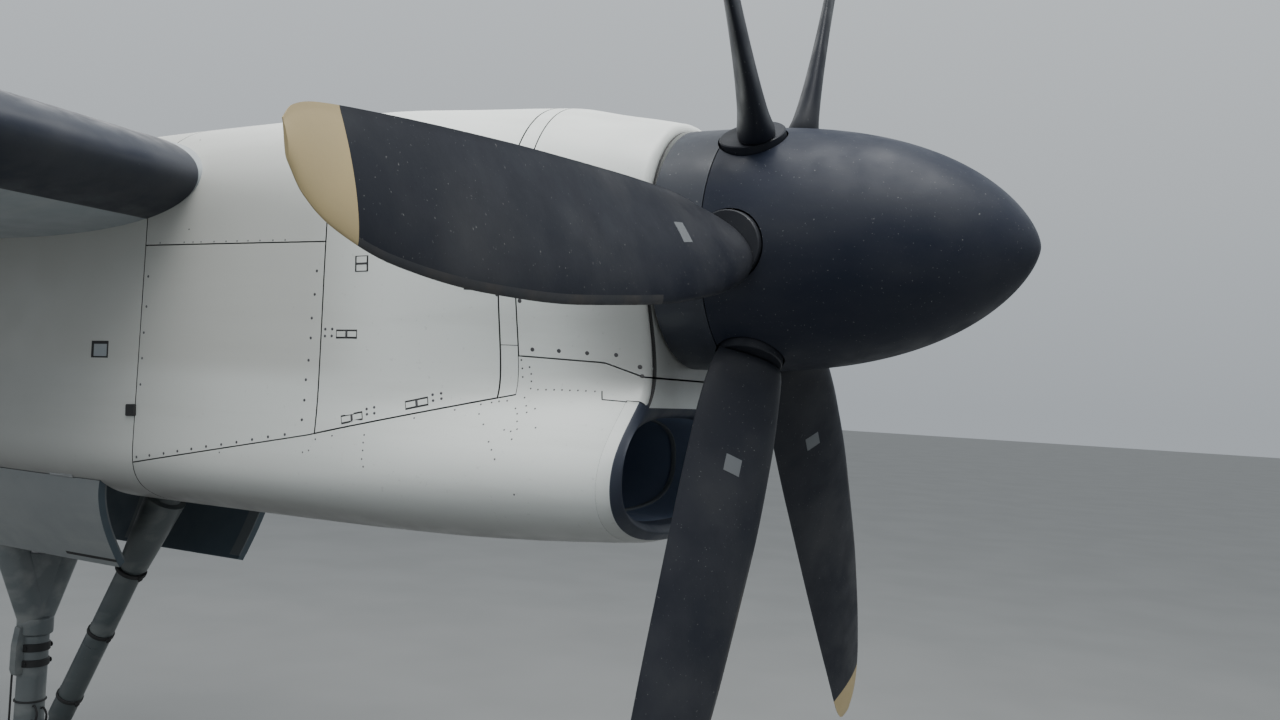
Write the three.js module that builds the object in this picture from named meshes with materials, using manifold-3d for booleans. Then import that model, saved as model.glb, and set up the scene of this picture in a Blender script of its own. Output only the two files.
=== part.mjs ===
// Port engine nacelle of a twin turboprop airliner: six-blade propeller, cowlings, the piece of
// wing that carries it, and the main landing gear leg, down, with its doors.
// Millimetres, +Z up. X points forward along the propeller's axis, Y points outboard.
// Every place below is measured from the middle of the spinner's rear rim. The whole model is
// then moved so that its origin is on the inboard end of the wing piece.
import * as THREE from 'three';
import { mergeVertices } from 'three/addons/utils/BufferGeometryUtils.js';
import Module from 'manifold-3d';

const wasm = await Module();
wasm.setup();

// Driving dimensions
const wingMount = new THREE.Vector3(-3200, -1600, 200);
const seatGap = 0.3;           // between pieces that lie on each other
const wingGap = 0.6;           // between the wing and the skins that it passes through
const doorGap = 6;             // round a cowling door that moves
const skin = 25;               // cowling thickness with its stiffeners
const hinge = { knuckle: 7, leaf: 5, edge: 9 };

const spinner = {
  radius: 386, length: 1052, power: 2.85, round: 0.636, skin: 6,
  ringLength: 165, bladeX: 250, holeRadius: 106,
};
const propeller = {
  bladeAngles: [185.5, 125.5, 65.5, 5.5, -54.5, 245.5],
  hubFlat: 150, hubHalf: 118, bossRadius: 100, bossTop: 190,
  shankRadius: 92, shaftRadius: 80, shaftEnd: -170,
  backplate: [20, 32], plateRadius: 379.2,
};
const seams = { lip: -75, frontCowl: -440, doorFront: -500, doorRear: -1153, panelRear: -2033 };
const sideLine = -20;          // height of the long seam over the side panels
const engine = { front: -125, step: -600, half: 240, top: 300, rearHalf: 230, boreRadius: 80.7 };
const bay = {
  front: -2270, rear: -5950, split: -3785, roof: -100, wall: 40, door: 30,
  frontHingeY: 445, rearHingeY: 360, openAngles: { inboard: 50, outboard: 71 },
  strutSlot: 36, slantedFrom: -2385,
};
const wing = {
  trailingX: -4740, leadingZ: 230, incidence: 3, thickness: 0.14, camber: 0.02,
  inboardY: -1600, outboardY: 1200, boot: 260, bootEnd: 500, flapX: -4020, flapEnd: 505,
};
const gear = {
  x: -3250, crossZ: -350, crossRadius: 60, armY: 330, armRadius: 75,
  kneeY: 130, kneeZ: -1330, kneeRadius: 70, footY: 12, footRadius: 60,
  collarTop: -1640, collarBottom: -1720, collarRadius: 76, webTop: -1440,
  cylinderRadius: 62, cylinderBottom: -2330, pistonRadius: 46, braceZ: -800, braceRadius: 35,
  axleZ: -2660, axleRadius: 40, axleEnd: 342, wheelY: 215, blockHalf: 75,
};
const strut = {
  top: [-2390, -939], bottom: [-3110, -2190], jointAt: 877,
  headStart: 95, headEnd: 462, headRadii: [84, 61], neckRadius: 60,
  tubeRadius: 52, clampRadius: 70, collarRadius: 60, eyeRadius: 42,
};

const paint = {
  white: new THREE.MeshStandardMaterial({ color: 0xd9dbd8, roughness: 0.35, metalness: 0 }),
  grey: new THREE.MeshStandardMaterial({ color: 0x8d9294, roughness: 0.5, metalness: 0 }),
  blade: new THREE.MeshStandardMaterial({ color: 0x2d3138, roughness: 0.55, metalness: 0 }),
  spinner: new THREE.MeshStandardMaterial({ color: 0x2b2e36, roughness: 0.4, metalness: 0 }),
  rubber: new THREE.MeshStandardMaterial({ color: 0x1a1c1f, roughness: 0.8, metalness: 0 }),
  steel: new THREE.MeshStandardMaterial({ color: 0x9a9da0, roughness: 0.35, metalness: 1 }),
  gear: new THREE.MeshStandardMaterial({ color: 0x9fa3a3, roughness: 0.45, metalness: 0 }),
};

const nacelle = new THREE.Group();
nacelle.position.copy(wingMount).negate();

// Solids and meshes
function solidOf(geometry) {
  geometry.deleteAttribute('normal');
  geometry.deleteAttribute('uv');
  const merged = mergeVertices(geometry, 1e-3);
  const places = merged.getAttribute('position');
  const corners = merged.getIndex().array;
  const point = (i) => new THREE.Vector3().fromBufferAttribute(places, i);
  const faces = [];
  let volume = 0;
  for (let i = 0; i < corners.length; i += 3) {
    const [a, b, c] = [corners[i], corners[i + 1], corners[i + 2]];
    if (a === b || b === c || c === a) continue;
    faces.push([a, b, c]);
    volume += point(a).dot(point(b).cross(point(c)));
  }
  const facingOut = volume < 0 ? faces.map(([a, b, c]) => [a, c, b]) : faces;
  return new wasm.Manifold(new wasm.Mesh({
    numProp: 3,
    vertProperties: new Float32Array(places.array),
    triVerts: new Uint32Array(facingOut.flat()),
  }));
}

function addPart(name, solid, material, parent = nacelle) {
  const mesh = solid.getMesh();
  const geometry = new THREE.BufferGeometry();
  geometry.setAttribute('position', new THREE.BufferAttribute(mesh.vertProperties, 3));
  geometry.setIndex(new THREE.BufferAttribute(mesh.triVerts, 1));
  const part = new THREE.Mesh(geometry, material);
  part.name = name;
  parent.add(part);
}

const joined = (...solids) => solids.reduce((whole, solid) => whole.add(solid));

function box([x0, x1], [y0, y1], [z0, z1]) {
  const geometry = new THREE.BoxGeometry(Math.abs(x1 - x0), Math.abs(y1 - y0), Math.abs(z1 - z0));
  geometry.translate((x0 + x1) / 2, (y0 + y1) / 2, (z0 + z1) / 2);
  return solidOf(geometry);
}

// A round bar between two points, each [x, y, z].
function rod(from, to, radius, sides = 16, endRadius = radius) {
  const start = new THREE.Vector3(...from);
  const along = new THREE.Vector3(...to).sub(start);
  const geometry = new THREE.CylinderGeometry(endRadius, radius, along.length(), sides);
  geometry.translate(0, along.length() / 2, 0);
  const up = new THREE.Vector3(0, 1, 0);
  geometry.applyQuaternion(new THREE.Quaternion().setFromUnitVectors(up, along.normalize()));
  geometry.translate(start.x, start.y, start.z);
  return solidOf(geometry);
}

// A body turned about the propeller's axis. The profile is a list of [x, radius], which starts
// and ends at radius 0.
function turned(profile, sides = 32) {
  const geometry = new THREE.LatheGeometry(profile.map(([x, r]) => new THREE.Vector2(r, x)), sides);
  geometry.rotateZ(-Math.PI / 2);
  return solidOf(geometry);
}

// A ring turned about the axle. The profile is a closed list of [distance along Y, radius].
function turnedOnAxle(profile, middleY, side, sides = 24) {
  const outline = [...profile, profile[0]].map(([y, r]) => new THREE.Vector2(r, side * y));
  const geometry = new THREE.LatheGeometry(outline, sides);
  geometry.translate(gear.x, side * middleY, gear.axleZ);
  return solidOf(geometry);
}

// A plate with an outline of [x, z], between two distances across.
function sidePlate(outline, y0, y1) {
  const shape = new THREE.Shape(outline.map(([x, z]) => new THREE.Vector2(x, z)));
  const geometry = new THREE.ExtrudeGeometry(shape, { depth: y1 - y0, bevelEnabled: false });
  geometry.rotateX(Math.PI / 2);
  geometry.translate(0, y1, 0);
  return solidOf(geometry);
}

// A plate with an outline of [x, y], between two heights.
function flatPlate(outline, z0, z1) {
  const shape = new THREE.Shape(outline.map(([x, y]) => new THREE.Vector2(x, y)));
  const geometry = new THREE.ExtrudeGeometry(shape, { depth: z1 - z0, bevelEnabled: false });
  geometry.translate(0, 0, z0);
  return solidOf(geometry);
}

// A closed body through rings of points. All rings have the same number of points.
function loft(rings) {
  const count = rings[0].length;
  const middleOf = (ring) => ring
    .reduce((sum, point) => sum.add(point), new THREE.Vector3())
    .divideScalar(count);
  const points = [...rings.flat(), middleOf(rings[0]), middleOf(rings[rings.length - 1])];
  const top = (rings.length - 1) * count;
  const faces = [];
  for (let i = 0; i < count; i += 1) {
    const next = (i + 1) % count;
    faces.push(points.length - 2, next, i);
    faces.push(points.length - 1, top + i, top + next);
    for (let ring = 0; ring < top; ring += count) {
      faces.push(ring + i, ring + next, ring + count + i);
      faces.push(ring + next, ring + count + next, ring + count + i);
    }
  }
  const geometry = new THREE.BufferGeometry();
  const places = points.flatMap((point) => [point.x, point.y, point.z]);
  geometry.setAttribute('position', new THREE.Float32BufferAttribute(places, 3));
  geometry.setIndex(faces);
  return solidOf(geometry);
}

// The row of a table at x, its columns worked out between the two rows around it. The first
// column is x, falling.
function rowAt(table, x) {
  const after = table.findIndex((row) => row[0] <= x);
  if (after <= 0) return (after === 0 ? table[0] : table[table.length - 1]).slice(1);
  const [a, b] = [table[after - 1], table[after]];
  const share = (a[0] - x) / (a[0] - b[0]);
  return a.slice(1).map((value, i) => value + (b[i + 1] - value) * share);
}

// Nacelle shape. Columns: x, half-width and height of the shoulder, of the waist and of the
// lower lobe, and the belly's height.
const sections = [
  [-12, 380, -40, 262, -448, 462, -728, -922],
  [-60, 394, -45, 285, -456, 495, -738, -944],
  [-250, 408, -60, 330, -470, 495, -745, -964],
  [-440, 420, -80, 364, -485, 492, -750, -980],
  [-760, 458, -40, 432, -530, 495, -765, -996],
  [-1153, 497, 60, 490, -570, 500, -785, -1002],
  [-1640, 500, 110, 500, -600, 500, -800, -1003],
  [-2400, 500, 110, 500, -620, 500, -800, -1003],
  [-3400, 498, 50, 498, -620, 498, -792, -993],
  [-3790, 495, 20, 495, -600, 495, -780, -978],
  [-5950, 425, -150, 425, -450, 425, -600, -800],
  [-6350, 350, -190, 350, -400, 350, -500, -700],
  [-6750, 230, -230, 230, -340, 230, -410, -550],
  [-7000, 110, -270, 110, -310, 110, -340, -430],
];
const crownLine = [
  [-12, 403], [-60, 415], [-250, 452], [-440, 489], [-760, 504], [-1153, 517], [-1640, 511],
  [-2033, 505], [-2400, 495], [-2900, 465], [-3400, 375], [-3790, 300], [-4740, 95], [-5950, 20],
  [-6350, -20], [-6750, -115], [-7000, -205],
];
const topPower = 2.4;
const bottomPower = 2.6;

// Points from the crown down the right side to the belly, then up the left side.
function nacelleRing(x, inset = 0) {
  const [half, shoulderZ, waistHalf, waistZ, lobeHalf, lobeZ, belly] = rowAt(sections, x);
  const [crown] = rowAt(crownLine, x);
  const side = [];
  const bend = (turn, power) => [Math.cos(turn), Math.sin(turn)].map((v) => Math.abs(v) ** (2 / power));
  for (let i = 0; i < 6; i += 1) {
    const [across, up] = bend((Math.PI / 2) * (1 - i / 6), topPower);
    side.push([(half - inset) * across, shoulderZ + (crown - inset - shoulderZ) * up]);
  }
  for (let i = 0; i < 2; i += 1) {
    const ease = (1 - Math.cos((Math.PI * i) / 2)) / 2;
    side.push([half - inset + (waistHalf - half) * ease, shoulderZ + ((waistZ - shoulderZ) * i) / 2]);
  }
  for (let i = 0; i < 4; i += 1) {
    const ease = 0.15 * (1 - Math.cos((Math.PI * i) / 4)) + 0.7 * Math.sin((Math.PI * i) / 8);
    side.push([waistHalf - inset + (lobeHalf - waistHalf) * ease, waistZ + ((lobeZ - waistZ) * i) / 4]);
  }
  for (let i = 0; i <= 5; i += 1) {
    const [across, down] = bend((Math.PI / 2) * (i / 5), bottomPower);
    side.push([(lobeHalf - inset) * across, lobeZ + (belly + inset - lobeZ) * down]);
  }
  const otherSide = side.slice(1, -1).reverse().map(([y, z]) => [-y, z]);
  return [...side, ...otherSide].map(([y, z]) => new THREE.Vector3(x, y, z));
}

function nacelleLoft(front, rear, inset = 0) {
  const stations = [...new Set([...sections, ...crownLine].map(([x]) => x))]
    .filter((x) => x < front && x > rear)
    .sort((a, b) => b - a);
  return loft([front, ...stations, rear].map((x) => nacelleRing(x, inset)));
}

// Height of the outer skin at a distance across, the highest with Math.max, the lowest with
// Math.min.
function skinZ(x, y, choose) {
  const ring = nacelleRing(x);
  const heights = ring.flatMap((a, i) => {
    const b = ring[(i + 1) % ring.length];
    if (a.y === b.y || y < Math.min(a.y, b.y) || y > Math.max(a.y, b.y)) return [];
    return [a.z + ((b.z - a.z) * (y - a.y)) / (b.y - a.y)];
  });
  return choose(...heights);
}

const ahead = 100;             // past the nose of the cowling
const wide = 900;              // past both sides
const [over, under] = [900, -1300];

// Everything under this line belongs to the intake cowling. Points are [x, z].
const lowerLine = [[40, -436], [-20, -430], [-160, -385], [-440, -375], [-440, -497],
  [-1180, -670], [-2040, -827]];
const lowerRegion = (raise) => sidePlate(
  [...lowerLine.map(([x, z]) => [x, z + raise]), [-2040, under], [40, under]], -wide, wide);

// Wing shape. Columns: distance across, leading edge.
const leadingEdge = [[1200, -1840], [500, -1780], [-500, -1780], [-1600, -1690]];

function wingRing(y, grow = 0) {
  const [leadingX] = rowAt(leadingEdge, y);
  const chord = leadingX - wing.trailingX + 2 * grow;
  const turn = THREE.MathUtils.degToRad(wing.incidence);
  const steps = 11;
  const surface = (side) => Array.from({ length: steps + 1 }, (_, i) => {
    const share = (1 - Math.cos((Math.PI * i) / steps)) / 2;
    const body = 1.4845 * Math.sqrt(share) - 0.63 * share - 1.758 * share ** 2
      + 1.4215 * share ** 3 - 0.5075 * share ** 4;
    const half = i === 0 ? 0 : wing.thickness * body * chord + 2 * share + grow;
    const bow = 4 * wing.camber * share * (1 - share) * chord;
    const [along, up] = [-share * chord, bow + side * half];
    return new THREE.Vector3(
      leadingX + grow + along * Math.cos(turn), y, wing.leadingZ + along * Math.sin(turn) + up);
  });
  return [...surface(1), ...surface(-1).slice(1).reverse()];
}

function wingLoft(grow = 0) {
  const spans = [wing.outboardY, 500, -500, wing.inboardY];
  return loft(spans.map((y) => wingRing(y, grow)));
}

// Hinges: knuckles of the fixed side and of the door take turns along a line.
function hingeHalf(line, side, spots, length, lift) {
  const start = new THREE.Vector3(...line[0]);
  const along = new THREE.Vector3(...line[1]).sub(start);
  const unit = along.clone().normalize();
  const offset = new THREE.Vector3(0, side * (hinge.edge - 2), lift);
  offset.addScaledVector(unit, -offset.dot(unit));
  return joined(...spots.flatMap((spot) => {
    const from = start.clone().addScaledVector(along, spot);
    const to = from.clone().addScaledVector(unit, length);
    return [
      rod(from.toArray(), to.toArray(), hinge.knuckle, 8),
      rod(from.add(offset).toArray(), to.add(offset).toArray(), hinge.leaf, 6),
    ];
  }));
}
const knuckleLength = 70;
const knuckleSpots = [0.1, 0.7];
function fixedKnuckles(line, side, lift = 0) {
  return hingeHalf(line, side, knuckleSpots, knuckleLength, lift);
}
function doorKnuckles(line, side) {
  const length = new THREE.Vector3(...line[0]).distanceTo(new THREE.Vector3(...line[1]));
  const shift = (knuckleLength + seatGap) / length;
  return hingeHalf(line, side, knuckleSpots.map((spot) => spot + shift), knuckleLength, 0);
}

// Propeller
const insideSides = 16;
const spinnerRadiusAt = (x) => (
  spinner.radius * Math.max(0, 1 - (x / spinner.length) ** spinner.power) ** spinner.round);
const bladeAxis = (angle) => {
  const turn = THREE.MathUtils.degToRad(angle);
  return new THREE.Vector3(0, Math.cos(turn), Math.sin(turn));
};
const onBlade = (angle, distance) => bladeAxis(angle).multiplyScalar(distance).setX(spinner.bladeX).toArray();

function addSpinner() {
  const profile = (stations, inset) => [
    [0, 0],
    ...stations.map((x) => [x, spinnerRadiusAt(x) - inset]),
    [spinner.length - inset, 0],
  ];
  const holes = joined(...propeller.bladeAngles.map((angle) => (
    rod(onBlade(angle, 250), onBlade(angle, 450), spinner.holeRadius, 16))));
  const outer = turned(profile([0, 165, 340, 520, 690, 830, 935, 1005, 1040], 0));
  const inner = turned([[-1, 0], [-1, spinner.radius - spinner.skin],
    ...profile([0, 200, 500, 790, 965], spinner.skin).slice(1)], insideSides);
  const shell = outer.subtract(inner).subtract(holes);
  const behind = box([-10, spinner.ringLength + seatGap], [-wide, wide], [-wide, wide]);
  const front = box([spinner.ringLength, spinner.length + 10], [-wide, wide], [-wide, wide]);
  addPart('spinner_shell', shell.subtract(behind), paint.spinner);
  addPart('spinner_rear_ring', shell.subtract(front), paint.spinner);
}

function addHub() {
  const { hubFlat, hubHalf, backplate, plateRadius, shaftEnd } = propeller;
  const corner = hubFlat / Math.cos(Math.PI / 6);
  const core = turned([[spinner.bladeX - hubHalf, 0], [spinner.bladeX - hubHalf, corner],
    [spinner.bladeX + hubHalf, corner], [spinner.bladeX + hubHalf, 0]], 6);
  const plate = turned([[backplate[0], 0], [backplate[0], plateRadius],
    [backplate[1], plateRadius], [backplate[1], 0]], insideSides);
  const shaft = rod([shaftEnd, 0, 0], [spinner.bladeX, 0, 0], propeller.shaftRadius, 32);
  const bosses = propeller.bladeAngles.map((angle) => (
    rod(onBlade(angle, 60), onBlade(angle, propeller.bossTop), propeller.bossRadius, 10)));
  addPart('propeller_hub', joined(core, plate, shaft, ...bosses), paint.steel);
}

// Blade sections. Columns: distance from the axis, chord, thickness, angle from the plane of
// rotation in degrees, and how far the middle of the chord lies behind the blade's axis.
const bladeSections = [
  [397, 235, 120, 33, 0], [480, 275, 84, 31, -1], [650, 318, 58, 27, -6], [950, 342, 38, 22, -12],
  [1300, 338, 27, 17, -10], [1600, 310, 21, 13, 0], [1850, 256, 16, 10, 20],
  [1980, 194, 13, 9, 44], [2035, 130, 10, 8, 62], [2057, 60, 8, 8, 74],
];

function bladeRing(angle, [distance, chord, thickness, pitch, swept]) {
  const axis = bladeAxis(angle);
  const turn = THREE.MathUtils.degToRad(pitch);
  const forward = new THREE.Vector3(1, 0, 0);
  const turning = new THREE.Vector3().crossVectors(forward, axis);
  const chordwise = turning.clone().multiplyScalar(Math.cos(turn)).addScaledVector(forward, Math.sin(turn));
  const facing = new THREE.Vector3().crossVectors(axis, chordwise);
  const steps = 6;
  const surface = (side) => Array.from({ length: steps + 1 }, (_, i) => {
    const share = (1 - Math.cos((Math.PI * i) / steps)) / 2;
    const fullness = Math.sin(Math.PI * share ** 0.62) ** 0.8;
    const half = i === 0 ? 0 : Math.max(2, (thickness / 2) * fullness);
    const bow = 0.1 * chord * share * (1 - share);
    return new THREE.Vector3(spinner.bladeX, 0, 0)
      .addScaledVector(axis, distance)
      .addScaledVector(chordwise, chord * (0.5 - share) - swept)
      .addScaledVector(facing, bow + side * half);
  });
  return [...surface(1), ...surface(-1).slice(1).reverse()];
}

function addBlades() {
  propeller.bladeAngles.forEach((angle, i) => {
    const shank = rod(onBlade(angle, propeller.bossTop + seatGap), onBlade(angle, 400),
      propeller.shankRadius, 16);
    const blade = loft(bladeSections.map((section) => bladeRing(angle, section)));
    addPart(`blade_${i + 1}`, joined(shank, blade), paint.blade);
  });
}

// Engine, as one plain block
function addEngine() {
  const front = box([engine.front, engine.step], [-engine.half, engine.half], [-engine.top, engine.top]);
  const rear = box([engine.step, seams.panelRear + seatGap], [-engine.rearHalf, engine.rearHalf], [-350, 20]);
  const bore = rod([engine.front + 10, 0, 0], [propeller.shaftEnd - 15, 0, 0], engine.boreRadius, 32);
  addPart('engine_block', joined(front, rear).subtract(bore), paint.grey);
}

// Cowlings
const fullX = [ahead, -8000];
const shellSolid = nacelleLoft(-12, seams.panelRear, 0);
const hollow = nacelleLoft(-32, seams.panelRear - 1, skin);
const cutByWing = wingLoft(wingGap);
const doorLine = (side) => [seams.doorFront - doorGap, seams.doorRear + doorGap]
  .map((x) => [x, side * 75, skinZ(x, 75, Math.max) - 2]);

function addCowlings() {
  const upper = shellSolid.subtract(hollow).subtract(lowerRegion(seatGap));
  const slice = (x0, x1) => box([x0 - seatGap / 2, x1 + seatGap / 2], [-wide, wide], [under, over]);
  const shaftHole = rod([20, 0, 0], [-60, 0, 0], 96, 32);
  addPart('cowl_front', upper.intersect(slice(ahead, seams.frontCowl)).subtract(shaftHole), paint.white);
  addPart('seal_strip', upper.intersect(slice(seams.frontCowl, seams.doorFront)), paint.white);

  const spine = upper.intersect(box([seams.doorFront - seatGap, seams.doorRear + seatGap],
    [-75 + hinge.edge, 75 - hinge.edge], [0, over]));
  addPart('crown_spine', joined(spine, fixedKnuckles(doorLine(1), -1), fixedKnuckles(doorLine(-1), 1)),
    paint.white);

  const doorPanels = shellSolid.subtract(hollow).subtract(lowerRegion(doorGap));
  for (const [name, side] of [['inboard', -1], ['outboard', 1]]) {
    const reach = box([seams.doorFront - doorGap, seams.doorRear + doorGap],
      [side * (75 + hinge.edge), side * wide], [under, over]);
    const door = joined(doorPanels.intersect(reach), doorKnuckles(doorLine(side), side));
    addPart(`cowl_door_${name}`, door, paint.white);
  }

  const rearSlice = upper.intersect(slice(seams.doorRear, seams.panelRear)).subtract(cutByWing);
  addPart('upper_skin', rearSlice.intersect(box(fullX, [-wide, wide], [sideLine, over])), paint.white);
  for (const [name, side] of [['inboard', -1], ['outboard', 1]]) {
    const reach = box(fullX, [0, side * wide], [under, sideLine - seatGap]);
    addPart(`side_panel_${name}`, rearSlice.intersect(reach), paint.white);
  }
}

// Air intake. Columns: x, half-width, half-height, middle height
const ductSections = [
  [20, 470, 206, -714], [-12, 440, 184, -714], [-40, 422, 170, -714], [-75, 414, 165, -714],
  [-400, 380, 155, -708], [-900, 300, 135, -700],
];
function ductLoft(front, rear, grow) {
  const rings = ductSections.filter(([x]) => x <= front && x >= rear).map(([x, half, high, middle]) => (
    Array.from({ length: 22 }, (_, i) => {
      const turn = (2 * Math.PI * i) / 22;
      const bend = (v) => Math.sign(v) * Math.abs(v) ** (2 / 2.7);
      return new THREE.Vector3(x, (half + grow) * bend(Math.sin(turn)), middle + (high + grow) * bend(Math.cos(turn)));
    })));
  return loft(rings);
}

function addIntake() {
  const lower = shellSolid.intersect(lowerRegion(0));
  const duct = ductLoft(20, -900, 0);
  const lipTop = -497;
  const lipBlock = (play) => box([seams.lip - play, ahead], [-wide, wide], [under, lipTop + play]);
  addPart('intake_lip', lower.intersect(lipBlock(0)).subtract(duct), paint.rubber);
  const cowlHollow = nacelleLoft(seams.lip - 1, seams.panelRear - 1, skin);
  const cowl = lower.subtract(lipBlock(seatGap)).subtract(cowlHollow).subtract(duct)
    .intersect(box([ahead, seams.panelRear], [-wide, wide], [under, over]));
  addPart('intake_cowl', cowl, paint.white);
  const closing = box([-899, -913], [-312, 312], [-852, -548]);
  const tube = joined(ductLoft(-75, -900, 10), closing)
    .subtract(duct)
    .intersect(box([seams.lip - 1 - seatGap, -2000], [-wide, wide], [under, over]));
  addPart('intake_duct', tube, paint.rubber);
}

// Wing piece
function addWing() {
  const whole = wingLoft();
  const nose = (side, play) => flatPlate([
    [-1000, side * (wing.bootEnd - play)],
    [-1000, side * 2000],
    [rowAt(leadingEdge, side > 0 ? 1200 : -1600)[0] - wing.boot - play, side * 2000],
    [rowAt(leadingEdge, 0)[0] - wing.boot - play, side * (wing.bootEnd - play)],
  ], under, over);
  const flap = (side, play) => box([wing.flapX + play, -6000],
    [side * (wing.flapEnd - play), side * 2000], [under, over]);
  let fixed = whole;
  for (const side of [-1, 1]) {
    fixed = fixed.subtract(nose(side, seatGap)).subtract(flap(side, seatGap));
  }
  addPart('wing_section', fixed, paint.white);
  for (const [name, side] of [['inboard', -1], ['outboard', 1]]) {
    addPart(`boot_${name}`, whole.intersect(nose(side, 0)), paint.rubber);
    addPart(`flap_${name}`, whole.intersect(flap(side, 0)), paint.white);
  }
}

// Rear nacelle with the wheel bay
const bellyHinge = (front, rear, y, side) => [front, rear].map((x) => (
  [x, side * y, skinZ(x, y, Math.min)]));
const doorPairs = [
  { name: 'front', front: bay.front - doorGap, rear: bay.split + doorGap, y: bay.frontHingeY },
  { name: 'rear', front: bay.split - doorGap, rear: bay.rear + doorGap, y: bay.rearHingeY },
];

function addRearNacelle() {
  const whole = nacelleLoft(seams.panelRear - seatGap, -7000);
  const aboveWing = box([-2000, wing.trailingX], [-wide, wide], [200, over]);
  const hump = whole.intersect(box([-2000, -3300], [-wide, wide], [250, over])).subtract(cutByWing);
  addPart('overwing_fairing', hump, paint.white);

  const space = nacelleLoft(bay.front, bay.rear, bay.wall)
    .intersect(box([bay.front, bay.rear], [-wide, wide], [under, bay.roof]));
  const mouths = doorPairs.map(({ front, rear, y }) => box(
    [front + doorGap, rear - doorGap], [-y - hinge.edge, y + hinge.edge], [under, -640]));
  const knuckles = doorPairs.flatMap(({ front, rear, y }) => [-1, 1].map((side) => (
    fixedKnuckles(bellyHinge(front, rear, y, side), side, 7))));
  const lugOutline = [[bay.front + 5, -850], [strut.top[0] - 60, strut.top[1] + 45],
    [strut.top[0] - 60, strut.top[1] - 50], [bay.front + 5, -975]];
  const lugs = [-1, 1].map((side) => sidePlate(lugOutline, ...(side > 0 ? [70.3, 110] : [-110, -70.3])));
  const body = joined(whole.subtract(space).subtract(joined(...mouths)), ...knuckles, ...lugs)
    .subtract(cutByWing)
    .subtract(aboveWing);
  const tail = box([-5990, -8000], [-wide, wide], [under, over]);
  addPart('nacelle_rear', body.subtract(box([-5990 + seatGap, -8000], [-wide, wide], [under, over])), paint.white);
  addPart('tail_fairing', body.intersect(tail), paint.white);

  const leaf = nacelleLoft(bay.front, bay.rear, 0).subtract(nacelleLoft(bay.front + 1, bay.rear - 1, bay.door));
  for (const { name, front, rear, y } of doorPairs) {
    for (const [sideName, side] of [['inboard', -1], ['outboard', 1]]) {
      const line = bellyHinge(front, rear, y, side);
      const [angle, innerX, innerY] = name === 'front'
        ? [bay.openAngles[sideName], bay.slantedFrom, bay.strutSlot] : [0, front, 5];
      const reach = flatPlate([[front, side * (y - hinge.edge)], [innerX, side * innerY],
        [rear, side * innerY], [rear, side * (y - hinge.edge)]], under, -640);
      const door = joined(leaf.intersect(reach), doorKnuckles(line, -side));
      const turnedDoor = new THREE.Group();
      turnedDoor.position.set(...line[0]);
      turnedDoor.rotation.x = THREE.MathUtils.degToRad(side * angle);
      const held = new THREE.Group();
      held.position.set(...line[0]).negate();
      turnedDoor.add(held);
      nacelle.add(turnedDoor);
      addPart(`gear_door_${name}_${sideName}`, door, paint.white, held);
    }
  }
}

function addExhaust() {
  const from = [-2140, 390, -330];
  const to = [-2860, 650, -350];
  const pipe = rod(from, to, 168, 20, 150).subtract(rod([-2080, 368, -328], [-2900, 664, -351], 152, 20, 138));
  addPart('exhaust_pipe', pipe.subtract(nacelleLoft(-1900, -3200, -seatGap)), paint.steel);
}

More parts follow.
